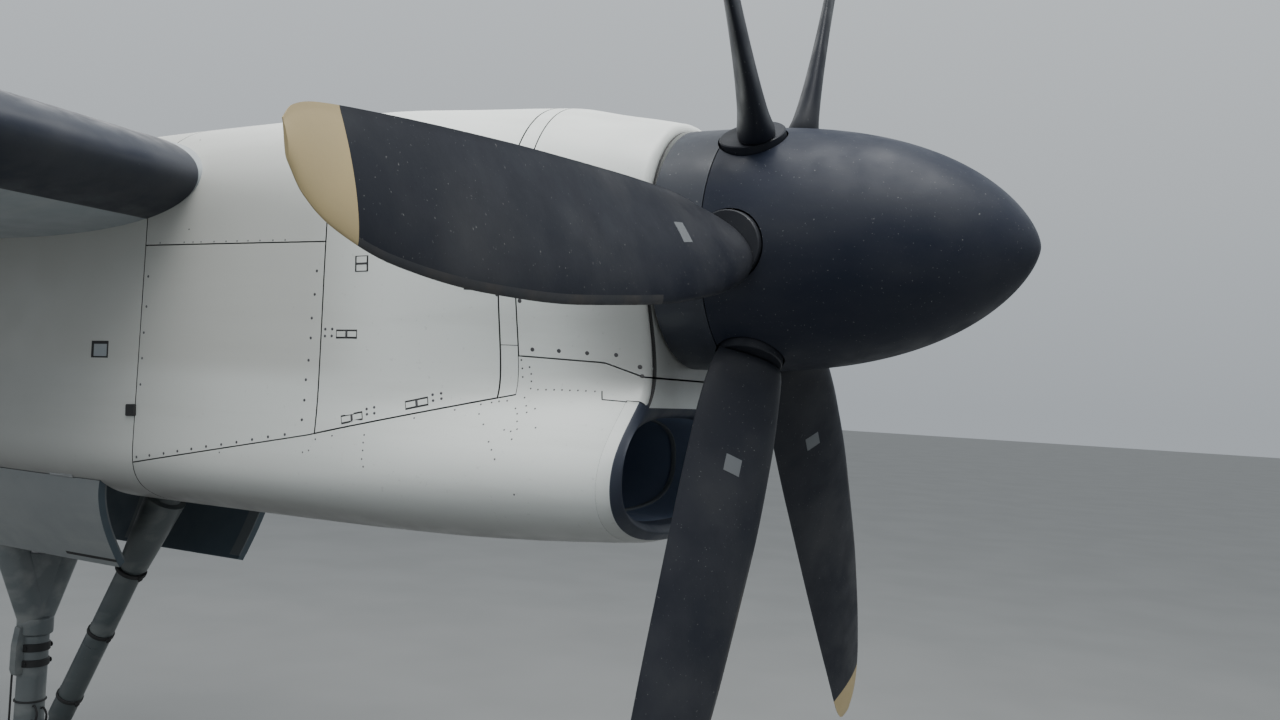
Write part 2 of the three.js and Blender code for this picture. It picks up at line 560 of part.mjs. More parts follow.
// Landing gear leg
function addLeg() {
  const { x, crossZ, armY, kneeY, kneeZ, footY, collarTop, collarBottom, axleZ } = gear;
  const reach = rowAt(sections, x)[0] - bay.wall - seatGap;
  const arms = [-1, 1].flatMap((side) => [
    rod([x, side * armY, crossZ], [x, side * kneeY, kneeZ], gear.armRadius, 14, gear.kneeRadius),
    rod([x, side * kneeY, kneeZ + 15], [x, side * footY, collarTop - 20], gear.kneeRadius, 14, gear.footRadius),
  ]);
  const braceY = armY - ((armY - kneeY) * (crossZ - gear.braceZ)) / (crossZ - kneeZ);
  const webEdge = (z) => footY + ((kneeY - footY) * (z - collarTop)) / (kneeZ - collarTop);
  const webSide = (side) => [[x - 55, gear.webTop], [x + 55, gear.webTop], [x + 55, collarTop],
    [x - 55, collarTop]].map(([webX, z]) => new THREE.Vector3(webX, side * webEdge(z), z));
  const web = loft([webSide(-1), webSide(1)]);
  addPart('gear_yoke', joined(
    rod([x, -reach, crossZ], [x, reach, crossZ], gear.crossRadius, 14),
    rod([x, -braceY, gear.braceZ], [x, braceY, gear.braceZ], gear.braceRadius, 10),
    rod([x, 0, collarTop], [x, 0, collarBottom], gear.collarRadius, 16),
    web, ...arms), paint.gear);

  const pinLugs = [-1, 1].map((side) => sidePlate([
    [x, strut.bottom[1] + 75], [strut.bottom[0] + 45, strut.bottom[1] + 45],
    [strut.bottom[0] + 45, strut.bottom[1] - 45], [x, strut.bottom[1] - 75],
  ], ...(side > 0 ? [50.3, 80] : [-80, -50.3])));
  const bands = [-1840, -2060, -2290].map((z) => rod([x, 0, z + 22], [x, 0, z - 22], gear.cylinderRadius + 10, 16));
  const backLug = sidePlate([[x, -2230], [x - 150, -2270], [x - 150, -2325], [x, -2328]], -40, 40);
  addPart('strut_cylinder', joined(
    rod([x, 0, collarBottom - seatGap], [x, 0, gear.cylinderBottom], gear.cylinderRadius, 16),
    ...bands, ...pinLugs, backLug), paint.gear);

  const axle = rod([x, -gear.axleEnd, axleZ], [x, gear.axleEnd, axleZ], gear.axleRadius, 32);
  const nuts = [-1, 1].map((side) => rod([x, side * 321, axleZ], [x, side * (gear.axleEnd - 3), axleZ], 58, 6));
  const block = box([x - 88, x + 88], [-gear.blockHalf, gear.blockHalf], [axleZ - 80, axleZ + 85]);
  const rearLug = sidePlate([[x, axleZ + 70], [x - 150, axleZ + 75], [x - 150, axleZ + 15], [x, axleZ - 20]], -40, 40);
  addPart('strut_piston', joined(
    rod([x, 0, gear.cylinderBottom - seatGap], [x, 0, axleZ], gear.pistonRadius, 16),
    block, rearLug, axle, ...nuts), paint.steel);

  const apex = [x - 330, -2455];
  addPart('torque_link_upper', sidePlate([[x - 150.3, -2262], [x - 150.3, -2330],
    [apex[0], apex[1] + 0.3], [apex[0] - 30, apex[1] + 20], [apex[0], apex[1] + 75]], -42, 42), paint.gear);
  addPart('torque_link_lower', sidePlate([[x - 150.3, axleZ + 20], [x - 150.3, axleZ + 80],
    [apex[0], apex[1]], [apex[0] - 30, apex[1] - 20], [apex[0], apex[1] - 75]], -42, 42), paint.gear);

  const roof = [-4000, bay.roof - seatGap];
  const nearBrace = rod([x, -200, gear.braceZ], [x, 200, gear.braceZ], gear.braceRadius + seatGap, 16);
  const ram = joined(
    rod([x - 10, 0, gear.braceZ - 5], [-3600, 0, -480], 24, 12),
    rod([-3560, 0, -500], [-3940, 0, -175], 46, 14),
    box([-3900, -4000], [-35, 35], [-230, roof[1]]));
  addPart('retraction_ram', ram.subtract(nearBrace).intersect(
    box([x - gear.braceRadius + 1, -5000], [-wide, wide], [under, over])), paint.gear);
}

function addDragStrut() {
  const at = ([x, z], y = 0) => [x, y, z];
  const { top, bottom } = strut;
  const unit = new THREE.Vector2(bottom[0] - top[0], bottom[1] - top[1]).normalize();
  const shifted = ([x, z], distance) => [x + unit.x * distance, z + unit.y * distance];
  const middle = shifted(top, strut.jointAt);
  const eye = (place, half, radius) => rod(at(place, -half), at(place, half), radius, 12);
  const collar = (place, radius) => rod(at(shifted(place, -20)), at(shifted(place, 20)), radius, 16);
  const { headStart, headEnd, headRadii, tubeRadius, clampRadius, collarRadius } = strut;
  addPart('drag_strut_upper', joined(
    rod(at(shifted(top, 35)), at(shifted(top, headStart + 10)), strut.neckRadius, 16),
    rod(at(shifted(top, headStart)), at(shifted(top, headEnd)), headRadii[0], 16, headRadii[1]),
    rod(at(shifted(top, 40)), at(shifted(middle, -seatGap)), tubeRadius, 16),
    collar(shifted(top, headEnd + 14), clampRadius), collar(shifted(middle, -60), collarRadius),
    eye(top, 70, 50)), paint.gear);
  addPart('drag_strut_lower', joined(
    rod(at(middle), at(shifted(bottom, -150)), tubeRadius, 16),
    rod(at(shifted(bottom, -160)), at(bottom), 38, 12),
    collar(shifted(bottom, -270), collarRadius), eye(bottom, 50, strut.eyeRadius)), paint.gear);
}

// Wheels. Profiles are [distance along the axle, radius].
const wheelProfile = [[-35, 40.7], [100, 40.7], [100, 65], [18, 72], [18, 180], [124, 190],
  [124, 222], [112, 222], [108, 203], [-108, 203], [-112, 222], [-124, 222], [-124, 188],
  [-15, 182], [-15, 72], [-35, 65]];
const tyreProfile = [[-106, 203.5], [106, 203.5], [106, 225], [124, 270], [122, 325],
  [98, 372], [55, 391], [-55, 391], [-98, 372], [-122, 325], [-124, 270], [-106, 225]];
const brakeProfile = [[-139.7, 40.4], [-45, 40.4], [-45, 168], [-139.7, 168]];

function addWheels() {
  for (const [name, side] of [['inboard', -1], ['outboard', 1]]) {
    addPart(`wheel_${name}`, turnedOnAxle(wheelProfile, gear.wheelY, side), paint.steel);
    addPart(`tyre_${name}`, turnedOnAxle(tyreProfile, gear.wheelY, side), paint.rubber);
    addPart(`brake_${name}`, turnedOnAxle(brakeProfile, gear.wheelY, side), paint.steel);
  }
}

addSpinner();
addHub();
addBlades();
addEngine();
addCowlings();
addIntake();
addWing();
addRearNacelle();
addExhaust();
addLeg();
addDragStrut();
addWheels();

export default nacelle;
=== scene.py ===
import bmesh
import bpy
import numpy as np
from math import cos, pi, radians, sin, sqrt
from mathutils import Matrix, Vector


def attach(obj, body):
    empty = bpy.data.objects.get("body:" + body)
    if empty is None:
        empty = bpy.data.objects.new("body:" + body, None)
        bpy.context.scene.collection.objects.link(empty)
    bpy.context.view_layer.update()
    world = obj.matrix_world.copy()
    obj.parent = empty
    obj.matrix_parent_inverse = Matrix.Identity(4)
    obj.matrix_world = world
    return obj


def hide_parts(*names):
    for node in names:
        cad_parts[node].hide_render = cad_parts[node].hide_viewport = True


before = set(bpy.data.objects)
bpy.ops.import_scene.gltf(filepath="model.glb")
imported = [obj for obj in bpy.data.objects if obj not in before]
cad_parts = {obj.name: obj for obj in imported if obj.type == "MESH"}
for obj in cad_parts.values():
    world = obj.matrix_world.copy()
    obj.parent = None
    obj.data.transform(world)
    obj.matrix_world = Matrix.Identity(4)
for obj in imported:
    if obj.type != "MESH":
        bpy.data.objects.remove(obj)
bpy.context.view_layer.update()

rimPlace = np.array([3.2, 1.6, -0.2])  # middle of the spinner's rear rim; all shapes below are measured from it
sides = {"inboard": -1, "outboard": 1}


# Camera, light and floor
view = {
    # place in metres from the rim, angles in degrees, height of the floor from the rim
    "lens": 30.26, "sensor": 36.0, "farEnd": 200,
    "place": (1.435, -3.210, -0.471),
    "yaw": 27.03, "pitch": 1.74, "roll": 3.0,
    "floor": -3.054, "floorSize": 200,
}
light = {
    # colours of the sky, and the point that the panels face
    "horizon": (0.42, 0.455, 0.49), "zenith": (1.00, 1.05, 1.08), "middle": (2.2, 1.6, -0.6),
    # place, size, power, colour
    "panels": {
        "skyPanel": ((4.4, -0.2, 7.6), (8, 8), 1450, (1.0, 1.0, 0.98)),
        "sidePanel": ((6.5, -7.0, 4.0), (6, 4), 25, (0.97, 0.99, 1.0)),
        "backPanel": ((-6.0, 8.0, 5.0), (6, 4), 80, (1.0, 0.98, 0.95)),
    },
}
mixSockets = {"below": 6, "above": 7, "result": 2}  # a mix node's sockets for colour


def addCamera():
    yaw, pitch, roll = (radians(view[k]) for k in ("yaw", "pitch", "roll"))
    ahead = Vector((-sin(yaw) * cos(pitch), cos(yaw) * cos(pitch), sin(pitch)))
    right = ahead.cross(Vector((0, 0, 1))).normalized()
    up = right.cross(ahead)
    right, up = right * cos(roll) + up * sin(roll), up * cos(roll) - right * sin(roll)
    place = Vector(view["place"]) + Vector(rimPlace)
    camera = bpy.data.objects.new("camera", bpy.data.cameras.new("camera"))
    camera.data.lens = view["lens"]
    camera.data.sensor_width = view["sensor"]
    camera.data.clip_end = view["farEnd"]
    turn = Matrix((right, up, -ahead)).transposed().to_4x4()
    camera.matrix_world = Matrix.Translation(place) @ turn
    bpy.context.scene.collection.objects.link(camera)
    bpy.context.scene.camera = camera


def addLight(name, place, target, size, power, color):
    lamp = bpy.data.lights.new(name, "AREA")
    lamp.shape = "RECTANGLE"
    lamp.size, lamp.size_y = size
    lamp.energy = power
    lamp.color = color
    thing = bpy.data.objects.new(name, lamp)
    toTarget = (Vector(target) - Vector(place)).normalized()
    thing.matrix_world = Matrix.Translation(Vector(place)) @ toTarget.to_track_quat("-Z", "Y").to_matrix().to_4x4()
    bpy.context.scene.collection.objects.link(thing)


def addStudio():
    # an even sky, brighter overhead than at the horizon
    world = bpy.data.worlds.new("studio")
    world.use_nodes = True
    tree = world.node_tree
    place = tree.nodes.new("ShaderNodeTexCoord")
    split = tree.nodes.new("ShaderNodeSeparateXYZ")
    mix = tree.nodes.new("ShaderNodeMix")
    mix.data_type = "RGBA"
    mix.inputs[mixSockets["below"]].default_value = (*light["horizon"], 1)
    mix.inputs[mixSockets["above"]].default_value = (*light["zenith"], 1)
    tree.links.new(place.outputs["Generated"], split.inputs["Vector"])
    tree.links.new(split.outputs["Z"], mix.inputs["Factor"])
    tree.links.new(mix.outputs[mixSockets["result"]], tree.nodes["Background"].inputs["Color"])
    bpy.context.scene.world = world
    for name, (start, size, power, color) in light["panels"].items():
        addLight(name, start, light["middle"], size, power, color)
    print("studio ready")


# Shape tools
def hermite(table, x):
    # smooth columns through the rows of a table whose first column falls
    rows = np.asarray(table, float)[::-1]
    xs, ys = rows[:, 0], rows[:, 1:]
    step = np.diff(xs)[:, None]
    rise = np.diff(ys, axis=0) / step
    slope = np.zeros_like(ys)
    same = rise[:-1] * rise[1:] > 0
    mix = 2 * rise[:-1] * rise[1:] / np.where(same, rise[:-1] + rise[1:], 1)
    slope[1:-1] = np.where(same, mix, 0)
    slope[0], slope[-1] = rise[0], rise[-1]
    x = float(np.clip(x, xs[0], xs[-1]))
    i = int(np.clip(np.searchsorted(xs, x) - 1, 0, len(xs) - 2))
    t = (x - xs[i]) / step[i, 0]
    a, b = ys[i], ys[i + 1]
    m, n = slope[i] * step[i], slope[i + 1] * step[i]
    return (2 * t**3 - 3 * t**2 + 1) * a + (t**3 - 2 * t**2 + t) * m + (3 * t**2 - 2 * t**3) * b + (t**3 - t**2) * n


def fullTurn(count):
    return np.linspace(0, 2 * pi, count, endpoint=False)


def unit(v):
    return v / np.maximum(np.linalg.norm(v, axis=-1, keepdims=True), 1e-12)


def placeMesh(name, mesh):
    thing = bpy.data.objects.new(name, mesh)
    bpy.context.scene.collection.objects.link(thing)
    return thing


def makeMesh(name, verts, faces, normals):
    # a mesh with its own normal at each corner of each face
    mesh = bpy.data.meshes.new(name)
    mesh.from_pydata((np.asarray(verts) + rimPlace).tolist(), [], [list(f) for f in faces])
    mesh.update()
    mesh.shade_smooth()
    mesh.normals_split_custom_set(normals.tolist())
    return placeMesh(name, mesh)


def setFinishes(thing, numbers):
    # number of the finish of each face, in the order in which the finishes were added
    thing.data.polygons.foreach_set("material_index", np.asarray(numbers).astype(np.int32))


def finishPiece(thing, body, finish, replaced=None):
    # the body that the piece rides on, its slot and finish, and the CAD node that it stands for
    thing.data.materials.append(finishes[finish])
    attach(thing, body)
    if replaced:
        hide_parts(replaced)
    return thing


def gridQuads(rows, columns, closed=False, ring=False):
    # closed: each row runs back to its start; ring: the last row runs on to the first
    i, j = np.meshgrid(np.arange(rows - (not ring)), np.arange(columns - (not closed)), indexing="ij")
    right, down = (j + 1) % columns, (i + 1) % rows
    return np.stack([i * columns + j, i * columns + right, down * columns + right, down * columns + j],
                    -1).reshape(-1, 4)


def quadCount(points):
    return (len(points) - 1) * (len(points[0]) - 1)


def shell(points, normals, thickness):
    # a closed panel on a grid of points, its outer face smooth and its rim sharp
    m, n = points.shape[:2]
    outer, inner = points.reshape(-1, 3), (points - normals * thickness).reshape(-1, 3)
    quads = gridQuads(m, n)
    a, b, c = outer[quads[0, 0]], outer[quads[0, 1]], outer[quads[0, 2]]
    if np.dot(np.cross(b - a, c - a), normals.reshape(-1, 3)[quads[0, 0]]) < 0:
        quads = quads[:, ::-1]
        way = 1
    else:
        way = -1
    loop = np.concatenate([np.arange(n), np.arange(2, m + 1) * n - 1, np.arange(m * n - 2, m * n - n - 1, -1),
                           np.arange(m - 2, 0, -1) * n])
    following = np.roll(loop, -1)
    rim = np.stack([loop, following, following + m * n, loop + m * n], -1)[:, ::way]
    faces = np.concatenate([quads, quads[:, ::-1] + m * n, rim])
    verts = np.concatenate([outer, inner])
    smooth = normals.reshape(-1, 3)
    corners = verts[rim]
    flat = unit(np.cross(corners[:, 2] - corners[:, 0], corners[:, 3] - corners[:, 1]))
    loops = np.concatenate([smooth[quads].reshape(-1, 3), -smooth[quads[:, ::-1]].reshape(-1, 3),
                            np.repeat(flat, 4, axis=0)])
    return verts, faces, loops


def joinShells(parts):
    verts, faces, loops, base = [], [], [], 0
    for v, f, l in parts:
        verts.append(v)
        faces.append(np.asarray(f) + base)
        loops.append(l)
        base += len(v)
    return np.concatenate(verts), np.concatenate(faces), np.concatenate(loops)


# Nacelle shape
nacelle = {
    # x, half-width and height of the shoulder, of the waist, and of the lower lobe, height of the belly
    "rows": [
        (-0.012, 0.380, -0.040, 0.262, -0.448, 0.462, -0.728, -0.922),
        (-0.060, 0.394, -0.045, 0.285, -0.456, 0.495, -0.738, -0.944),
        (-0.250, 0.408, -0.060, 0.330, -0.470, 0.495, -0.745, -0.964),
        (-0.440, 0.420, -0.080, 0.364, -0.485, 0.492, -0.750, -0.980),
        (-0.760, 0.458, -0.040, 0.432, -0.530, 0.495, -0.765, -0.996),
        (-1.153, 0.497, 0.060, 0.490, -0.570, 0.500, -0.785, -1.002),
        (-1.640, 0.500, 0.110, 0.500, -0.600, 0.500, -0.800, -1.003),
        (-2.400, 0.500, 0.110, 0.500, -0.620, 0.500, -0.800, -1.003),
        (-3.400, 0.498, 0.050, 0.498, -0.620, 0.498, -0.792, -0.993),
        (-3.790, 0.495, 0.020, 0.495, -0.600, 0.495, -0.780, -0.978),
        (-5.950, 0.425, -0.150, 0.425, -0.450, 0.425, -0.600, -0.800),
        (-6.350, 0.350, -0.190, 0.350, -0.400, 0.350, -0.500, -0.700),
        (-6.750, 0.230, -0.230, 0.230, -0.340, 0.230, -0.410, -0.550),
        (-7.000, 0.110, -0.270, 0.110, -0.310, 0.110, -0.340, -0.430),
    ],
    "crown": [
        (-0.012, 0.403), (-0.060, 0.415), (-0.250, 0.452), (-0.440, 0.489), (-0.760, 0.504), (-1.153, 0.517),
        (-1.640, 0.511), (-2.033, 0.505), (-2.400, 0.495), (-2.900, 0.465), (-3.400, 0.375), (-3.790, 0.300),
        (-4.740, 0.095), (-5.950, 0.020), (-6.350, -0.020), (-6.750, -0.115), (-7.000, -0.205),
    ],
    "topPower": 2.4, "bottomPower": 2.6, "softening": 10, "rounds": 2, "points": 180,
    "roundSteps": 40, "waistSteps": 12, "normalStep": 0.004, "lobeEase": (0.15, 0.7),
    # top of the lower lobe, where it starts to shrink toward the tail, points of the outline above the waist
    "lobeTop": -0.60, "taper": -5, "upperPoints": 60,
}
seams = {
    "front": -0.012, "lip": -0.075, "frontRear": -0.440, "doorFront": -0.500, "doorRear": -1.153,
    "panelRear": -2.033, "tail": -5.990, "end": -7.000, "side": -0.020, "lipTop": -0.497,
    "gap": 0.0022, "doorGap": 0.003, "skin": 0.012, "nose": 0.030, "stripCut": -0.343, "lipGap": 0.0003,
    "spineEdge": 0.063, "doorEdge": 0.083, "pinY": 0.075, "pinLine": [(-1.147, 0.5087), (-0.506, 0.4814)],
    # x and height of a point on the side panels' lower edge and its slope, ahead of and behind the bend
    "bend": -1.18, "lowerFront": (-0.440, -0.497, 0.2338), "lowerRear": (-1.18, -0.670, 0.1826),
    "chinLine": [(0.0, -0.432), (-0.02, -0.430), (-0.16, -0.385), (-0.44, -0.375)],
    "noseSteps": 8, "bellyColumns": 130, "wallColumns": 40, "shaftHole": 0.096,
}
hinge = {
    # radius of a knuckle and of its leaf's edge, how far that lies beside the hinge line and above it
    "barrel": 0.0062, "leaf": 0.0035, "beside": 0.0068, "above": 0.001,
    # ends of knuckles along the line, how far the first lies from the door's end, half gap between two
    "ends": 12, "inset": 0.01, "gap": 0.0015,
}
profileStore = {}  # outlines already worked out, by their x


def profileAt(x):
    # half outline from the crown to the belly: [y, z] rows at equal steps along it
    key = round(float(x), 5)
    if key in profileStore:
        return profileStore[key]
    half, shoulder, waistHalf, waist, lobeHalf, lobe, belly = hermite(nacelle["rows"], x)
    crown = hermite(nacelle["crown"], x)[0]
    turn = np.linspace(0, pi / 2, nacelle["roundSteps"])[1:]
    top = np.stack([half * np.sin(turn) ** (2 / nacelle["topPower"]),
                    shoulder + (crown - shoulder) * np.cos(turn) ** (2 / nacelle["topPower"])], -1)
    share = np.linspace(0, 1, nacelle["waistSteps"])[1:]
    waistPart = np.stack([half + (waistHalf - half) * (1 - np.cos(pi * share)) / 2,
                          shoulder + (waist - shoulder) * share], -1)
    soft, quick = nacelle["lobeEase"]
    ease = soft * (1 - np.cos(pi * share)) + quick * np.sin(pi * share / 2)
    lobePart = np.stack([waistHalf + (lobeHalf - waistHalf) * ease, waist + (lobe - waist) * share], -1)
    bottom = np.stack([lobeHalf * np.cos(turn) ** (2 / nacelle["bottomPower"]),
                       lobe + (belly - lobe) * np.sin(turn) ** (2 / nacelle["bottomPower"])], -1)
    line = np.concatenate([[[0, crown]], top, waistPart, lobePart, bottom])
    line[-1, 0] = 0
    for _ in range(nacelle["rounds"]):
        length = np.concatenate([[0], np.cumsum(np.linalg.norm(np.diff(line, axis=0), axis=1))])
        even = np.linspace(0, length[-1], nacelle["points"])
        line = np.stack([np.interp(even, length, line[:, 0]), np.interp(even, length, line[:, 1])], -1)
        for _ in range(nacelle["softening"]):
            line[1:-1] = (line[:-2] + 2 * line[1:-1] + line[2:]) / 4
    profileStore[key] = line
    return line


def arcAtHeight(x, z):
    # share of the way from the crown to the belly where the skin has that height
    line = profileAt(x)
    return float(np.interp(-z, -line[:, 1], np.linspace(0, 1, len(line))))


def arcAtWidth(x, y, belly=False):
    line = profileAt(x)
    share = np.linspace(0, 1, len(line))
    if belly:
        rows = line[:, 1] < (nacelle["lobeTop"] if x > nacelle["taper"] else hermite(nacelle["rows"], x)[5])
        return float(np.interp(-y, -line[rows, 0], share[rows]))
    widest = int(np.argmax(line[:nacelle["upperPoints"], 0]))
    return float(np.interp(y, line[:widest, 0], share[:widest]))


def skinAt(x, arcs):
    # points at arcs: 0 crown, 1 belly, under 0 or over 1 on the inboard side
    arcs = np.asarray(arcs, float)
    side = np.where((arcs < 0) | (arcs > 1), -1.0, 1.0)
    arcs = np.abs(np.where(arcs > 1, 2 - arcs, arcs))
    line = profileAt(x)
    at = np.linspace(0, 1, len(line))
    return np.stack([np.full(arcs.shape, float(x)), side * np.interp(arcs, at, line[:, 0]),
                     np.interp(arcs, at, line[:, 1])], -1)


def skinNormals(x, arcs):
    arcs, step = np.asarray(arcs, float), nacelle["normalStep"]
    along = skinAt(min(x + step, seams["front"]), arcs) - skinAt(x - step, arcs)
    across = skinAt(x, arcs + step) - skinAt(x, arcs - step)
    return unit(np.cross(along, across))


def underSkin(x, arcs, depth):
    # [y, z] rows at a depth under the skin
    return (skinAt(x, arcs) - skinNormals(x, arcs) * depth)[:, 1:]


def skinGrid(xs, first, last, columns):
    points, normals = [], []
    for x in xs:
        arcs = np.linspace(first(x), last(x), columns)
        points.append(skinAt(x, arcs))
        normals.append(skinNormals(x, arcs))
    return np.array(points), np.array(normals)


def steps(start, stop, size=0.03):
    return np.linspace(start, stop, max(2, int(round(abs(stop - start) / size)) + 1))


def diagonal(x):
    # height of the lower edge of the cowl doors and side panels
    startX, startZ, slope = seams["lowerFront" if x > seams["bend"] else "lowerRear"]
    return startZ + (x - startX) * slope


def frontLower(x):
    # height of the seam between the front cowl and the intake cowl
    places, heights = zip(*seams["chinLine"])
    return float(np.interp(-x, [-place for place in places], heights))


# Materials
def newMaterial(name, color, roughness, metallic=0.0):
    material = bpy.data.materials.new(name)
    material.use_nodes = True
    tree = material.node_tree
    shader = tree.nodes["Principled BSDF"]
    shader.inputs["Base Color"].default_value = (*color, 1)
    shader.inputs["Roughness"].default_value = roughness
    shader.inputs["Metallic"].default_value = metallic
    return material, tree, shader


def addNoise(tree, scale, detail, stretch=(1, 1, 1), low=0.35, high=0.65):
    # grey noise between 0 and 1 that stays with the piece
    place = tree.nodes.new("ShaderNodeTexCoord")
    turn = tree.nodes.new("ShaderNodeMapping")
    turn.inputs["Scale"].default_value = stretch
    noise = tree.nodes.new("ShaderNodeTexNoise")
    noise.inputs["Scale"].default_value = scale
    noise.inputs["Detail"].default_value = detail
    limits = tree.nodes.new("ShaderNodeMapRange")
    limits.inputs["From Min"].default_value = low
    limits.inputs["From Max"].default_value = high
    tree.links.new(place.outputs["Object"], turn.inputs["Vector"])
    tree.links.new(turn.outputs["Vector"], noise.inputs["Vector"])
    tree.links.new(noise.outputs["Fac"], limits.inputs["Value"])
    return limits.outputs["Result"]


def addHeight(tree, start, stop, axis="Z"):
    # 0 at start, 1 at stop, along one of the model's axes
    place = tree.nodes.new("ShaderNodeTexCoord")
    split = tree.nodes.new("ShaderNodeSeparateXYZ")
    limits = tree.nodes.new("ShaderNodeMapRange")
    limits.inputs["From Min"].default_value = start
    limits.inputs["From Max"].default_value = stop
    limits.interpolation_type = "SMOOTHSTEP"
    tree.links.new(place.outputs["Object"], split.inputs["Vector"])
    tree.links.new(split.outputs[axis], limits.inputs["Value"])
    return limits.outputs["Result"]


def timesValue(tree, a, b):
    product = tree.nodes.new("ShaderNodeMath")
    product.operation = "MULTIPLY"
    for socket, value in zip(product.inputs, (a, b)):
        if isinstance(value, float):
            socket.default_value = value
        else:
            tree.links.new(value, socket)
    return product.outputs["Value"]


def tintBy(tree, shader, layers):
    # lay one colour after the other over the base colour, each by its own mask
    below = None
    for color, mask in layers:
        mix = tree.nodes.new("ShaderNodeMix")
        mix.data_type = "RGBA"
        tree.links.new(mask, mix.inputs["Factor"])
        if below is None:
            mix.inputs[mixSockets["below"]].default_value = shader.inputs["Base Color"].default_value
        else:
            tree.links.new(below, mix.inputs[mixSockets["below"]])
        mix.inputs[mixSockets["above"]].default_value = (*color, 1)
        below = mix.outputs[mixSockets["result"]]
    tree.links.new(below, shader.inputs["Base Color"])


def roughBy(tree, shader, mask, low, high):
    # roughness from low to high by a mask
    spread = tree.nodes.new("ShaderNodeMapRange")
    spread.inputs["To Min"].default_value = low
    spread.inputs["To Max"].default_value = high
    tree.links.new(mask, spread.inputs["Value"])
    tree.links.new(spread.outputs["Result"], shader.inputs["Roughness"])


def bumpBy(tree, shader, mask, strength, distance):
    bump = tree.nodes.new("ShaderNodeBump")
    bump.inputs["Strength"].default_value = strength
    bump.inputs["Distance"].default_value = distance
    tree.links.new(mask, bump.inputs["Height"])
    tree.links.new(bump.outputs["Normal"], shader.inputs["Normal"])


paints = {
    # after the cowling's white come two soiling colours, which also serve as painted shade laid on the nacelle
    "cowling": (0.76, 0.79, 0.765), "grimeAndShade": (0.44, 0.44, 0.41), "sootAndShade": (0.16, 0.155, 0.15),
    # painted shade: the gear and strut colours are far darker than the leg's own light grey, for the shade it
    # stands in under the nacelle
    # painted shade: the wing's grey is darker than its own light grey, for the shade on its underside
    "wing": (0.28, 0.31, 0.33), "gear": (0.118, 0.136, 0.142), "strut": (0.058, 0.072, 0.077),
    # painted shade: the gear doors' outer white is drawn dark grey, for the shade they hang in under the nacelle
    "door": (0.205, 0.220, 0.225),
    "spinner": (0.015, 0.019, 0.032), "ring": (0.026, 0.031, 0.044), "blade": (0.011, 0.013, 0.020),
    "tip": (0.42, 0.33, 0.17), "boot": (0.010, 0.014, 0.026), "bay": (0.10, 0.115, 0.115),
    "lining": (0.060, 0.086, 0.108), "frame": (0.120, 0.135, 0.145), "tyre": (0.018, 0.018, 0.019),
    # painted light: the duct lining is drawn much paler than its own dark colour, for the light that reaches into
    # the duct
    "duct": (0.150, 0.190, 0.280), "label": (0.13, 0.14, 0.15), "lip": (0.024, 0.032, 0.054),
    # the seal colour is black rubber on real seals, bands and lines, and also painted shade on panel edges, in gaps
    # and in hollows
    "seal": (0.015, 0.015, 0.016), "dust": (0.10, 0.10, 0.10), "speck": (0.35, 0.35, 0.34),
    "steel": (0.42, 0.43, 0.44), "chrome": (0.70, 0.71, 0.72), "heat": (0.24, 0.19, 0.16),
    "edge": (0.060, 0.062, 0.068), "engine": (0.25, 0.26, 0.27), "fastener": (0.10, 0.10, 0.11),
    "stain": (0.12, 0.10, 0.08), "burn": (0.05, 0.045, 0.07),
    "floor": (0.21, 0.215, 0.215), "floorPatch": (0.195, 0.20, 0.20),
}


shadeAndGrime = {
    # painted shade and soiling on the nacelle, in the model's frame: x or height where each patch begins and where
    # it is full, its strength; the first is soiling with painted shade toward the tail, the second painted shadow
    # of the wing, the third painted shade on the underside
    "rear": ((2.6, 0.8), 0.62), "wingShadow": ((1.7, 0.2), 0.42), "belly": ((-0.95, -1.20), 0.90),
    # painted shade on its sides, only above the intake: heights, x, strength; the first darkens the upper sides
    # behind the doors, the second the front behind the spinner, as its shadow
    "aboveIntake": (-0.72, -0.62), "panels": ((0.30, -0.05), (2.35, 1.95), 0.60),
    "front": ((0.05, -0.30), (2.82, 3.14), 0.56),
}


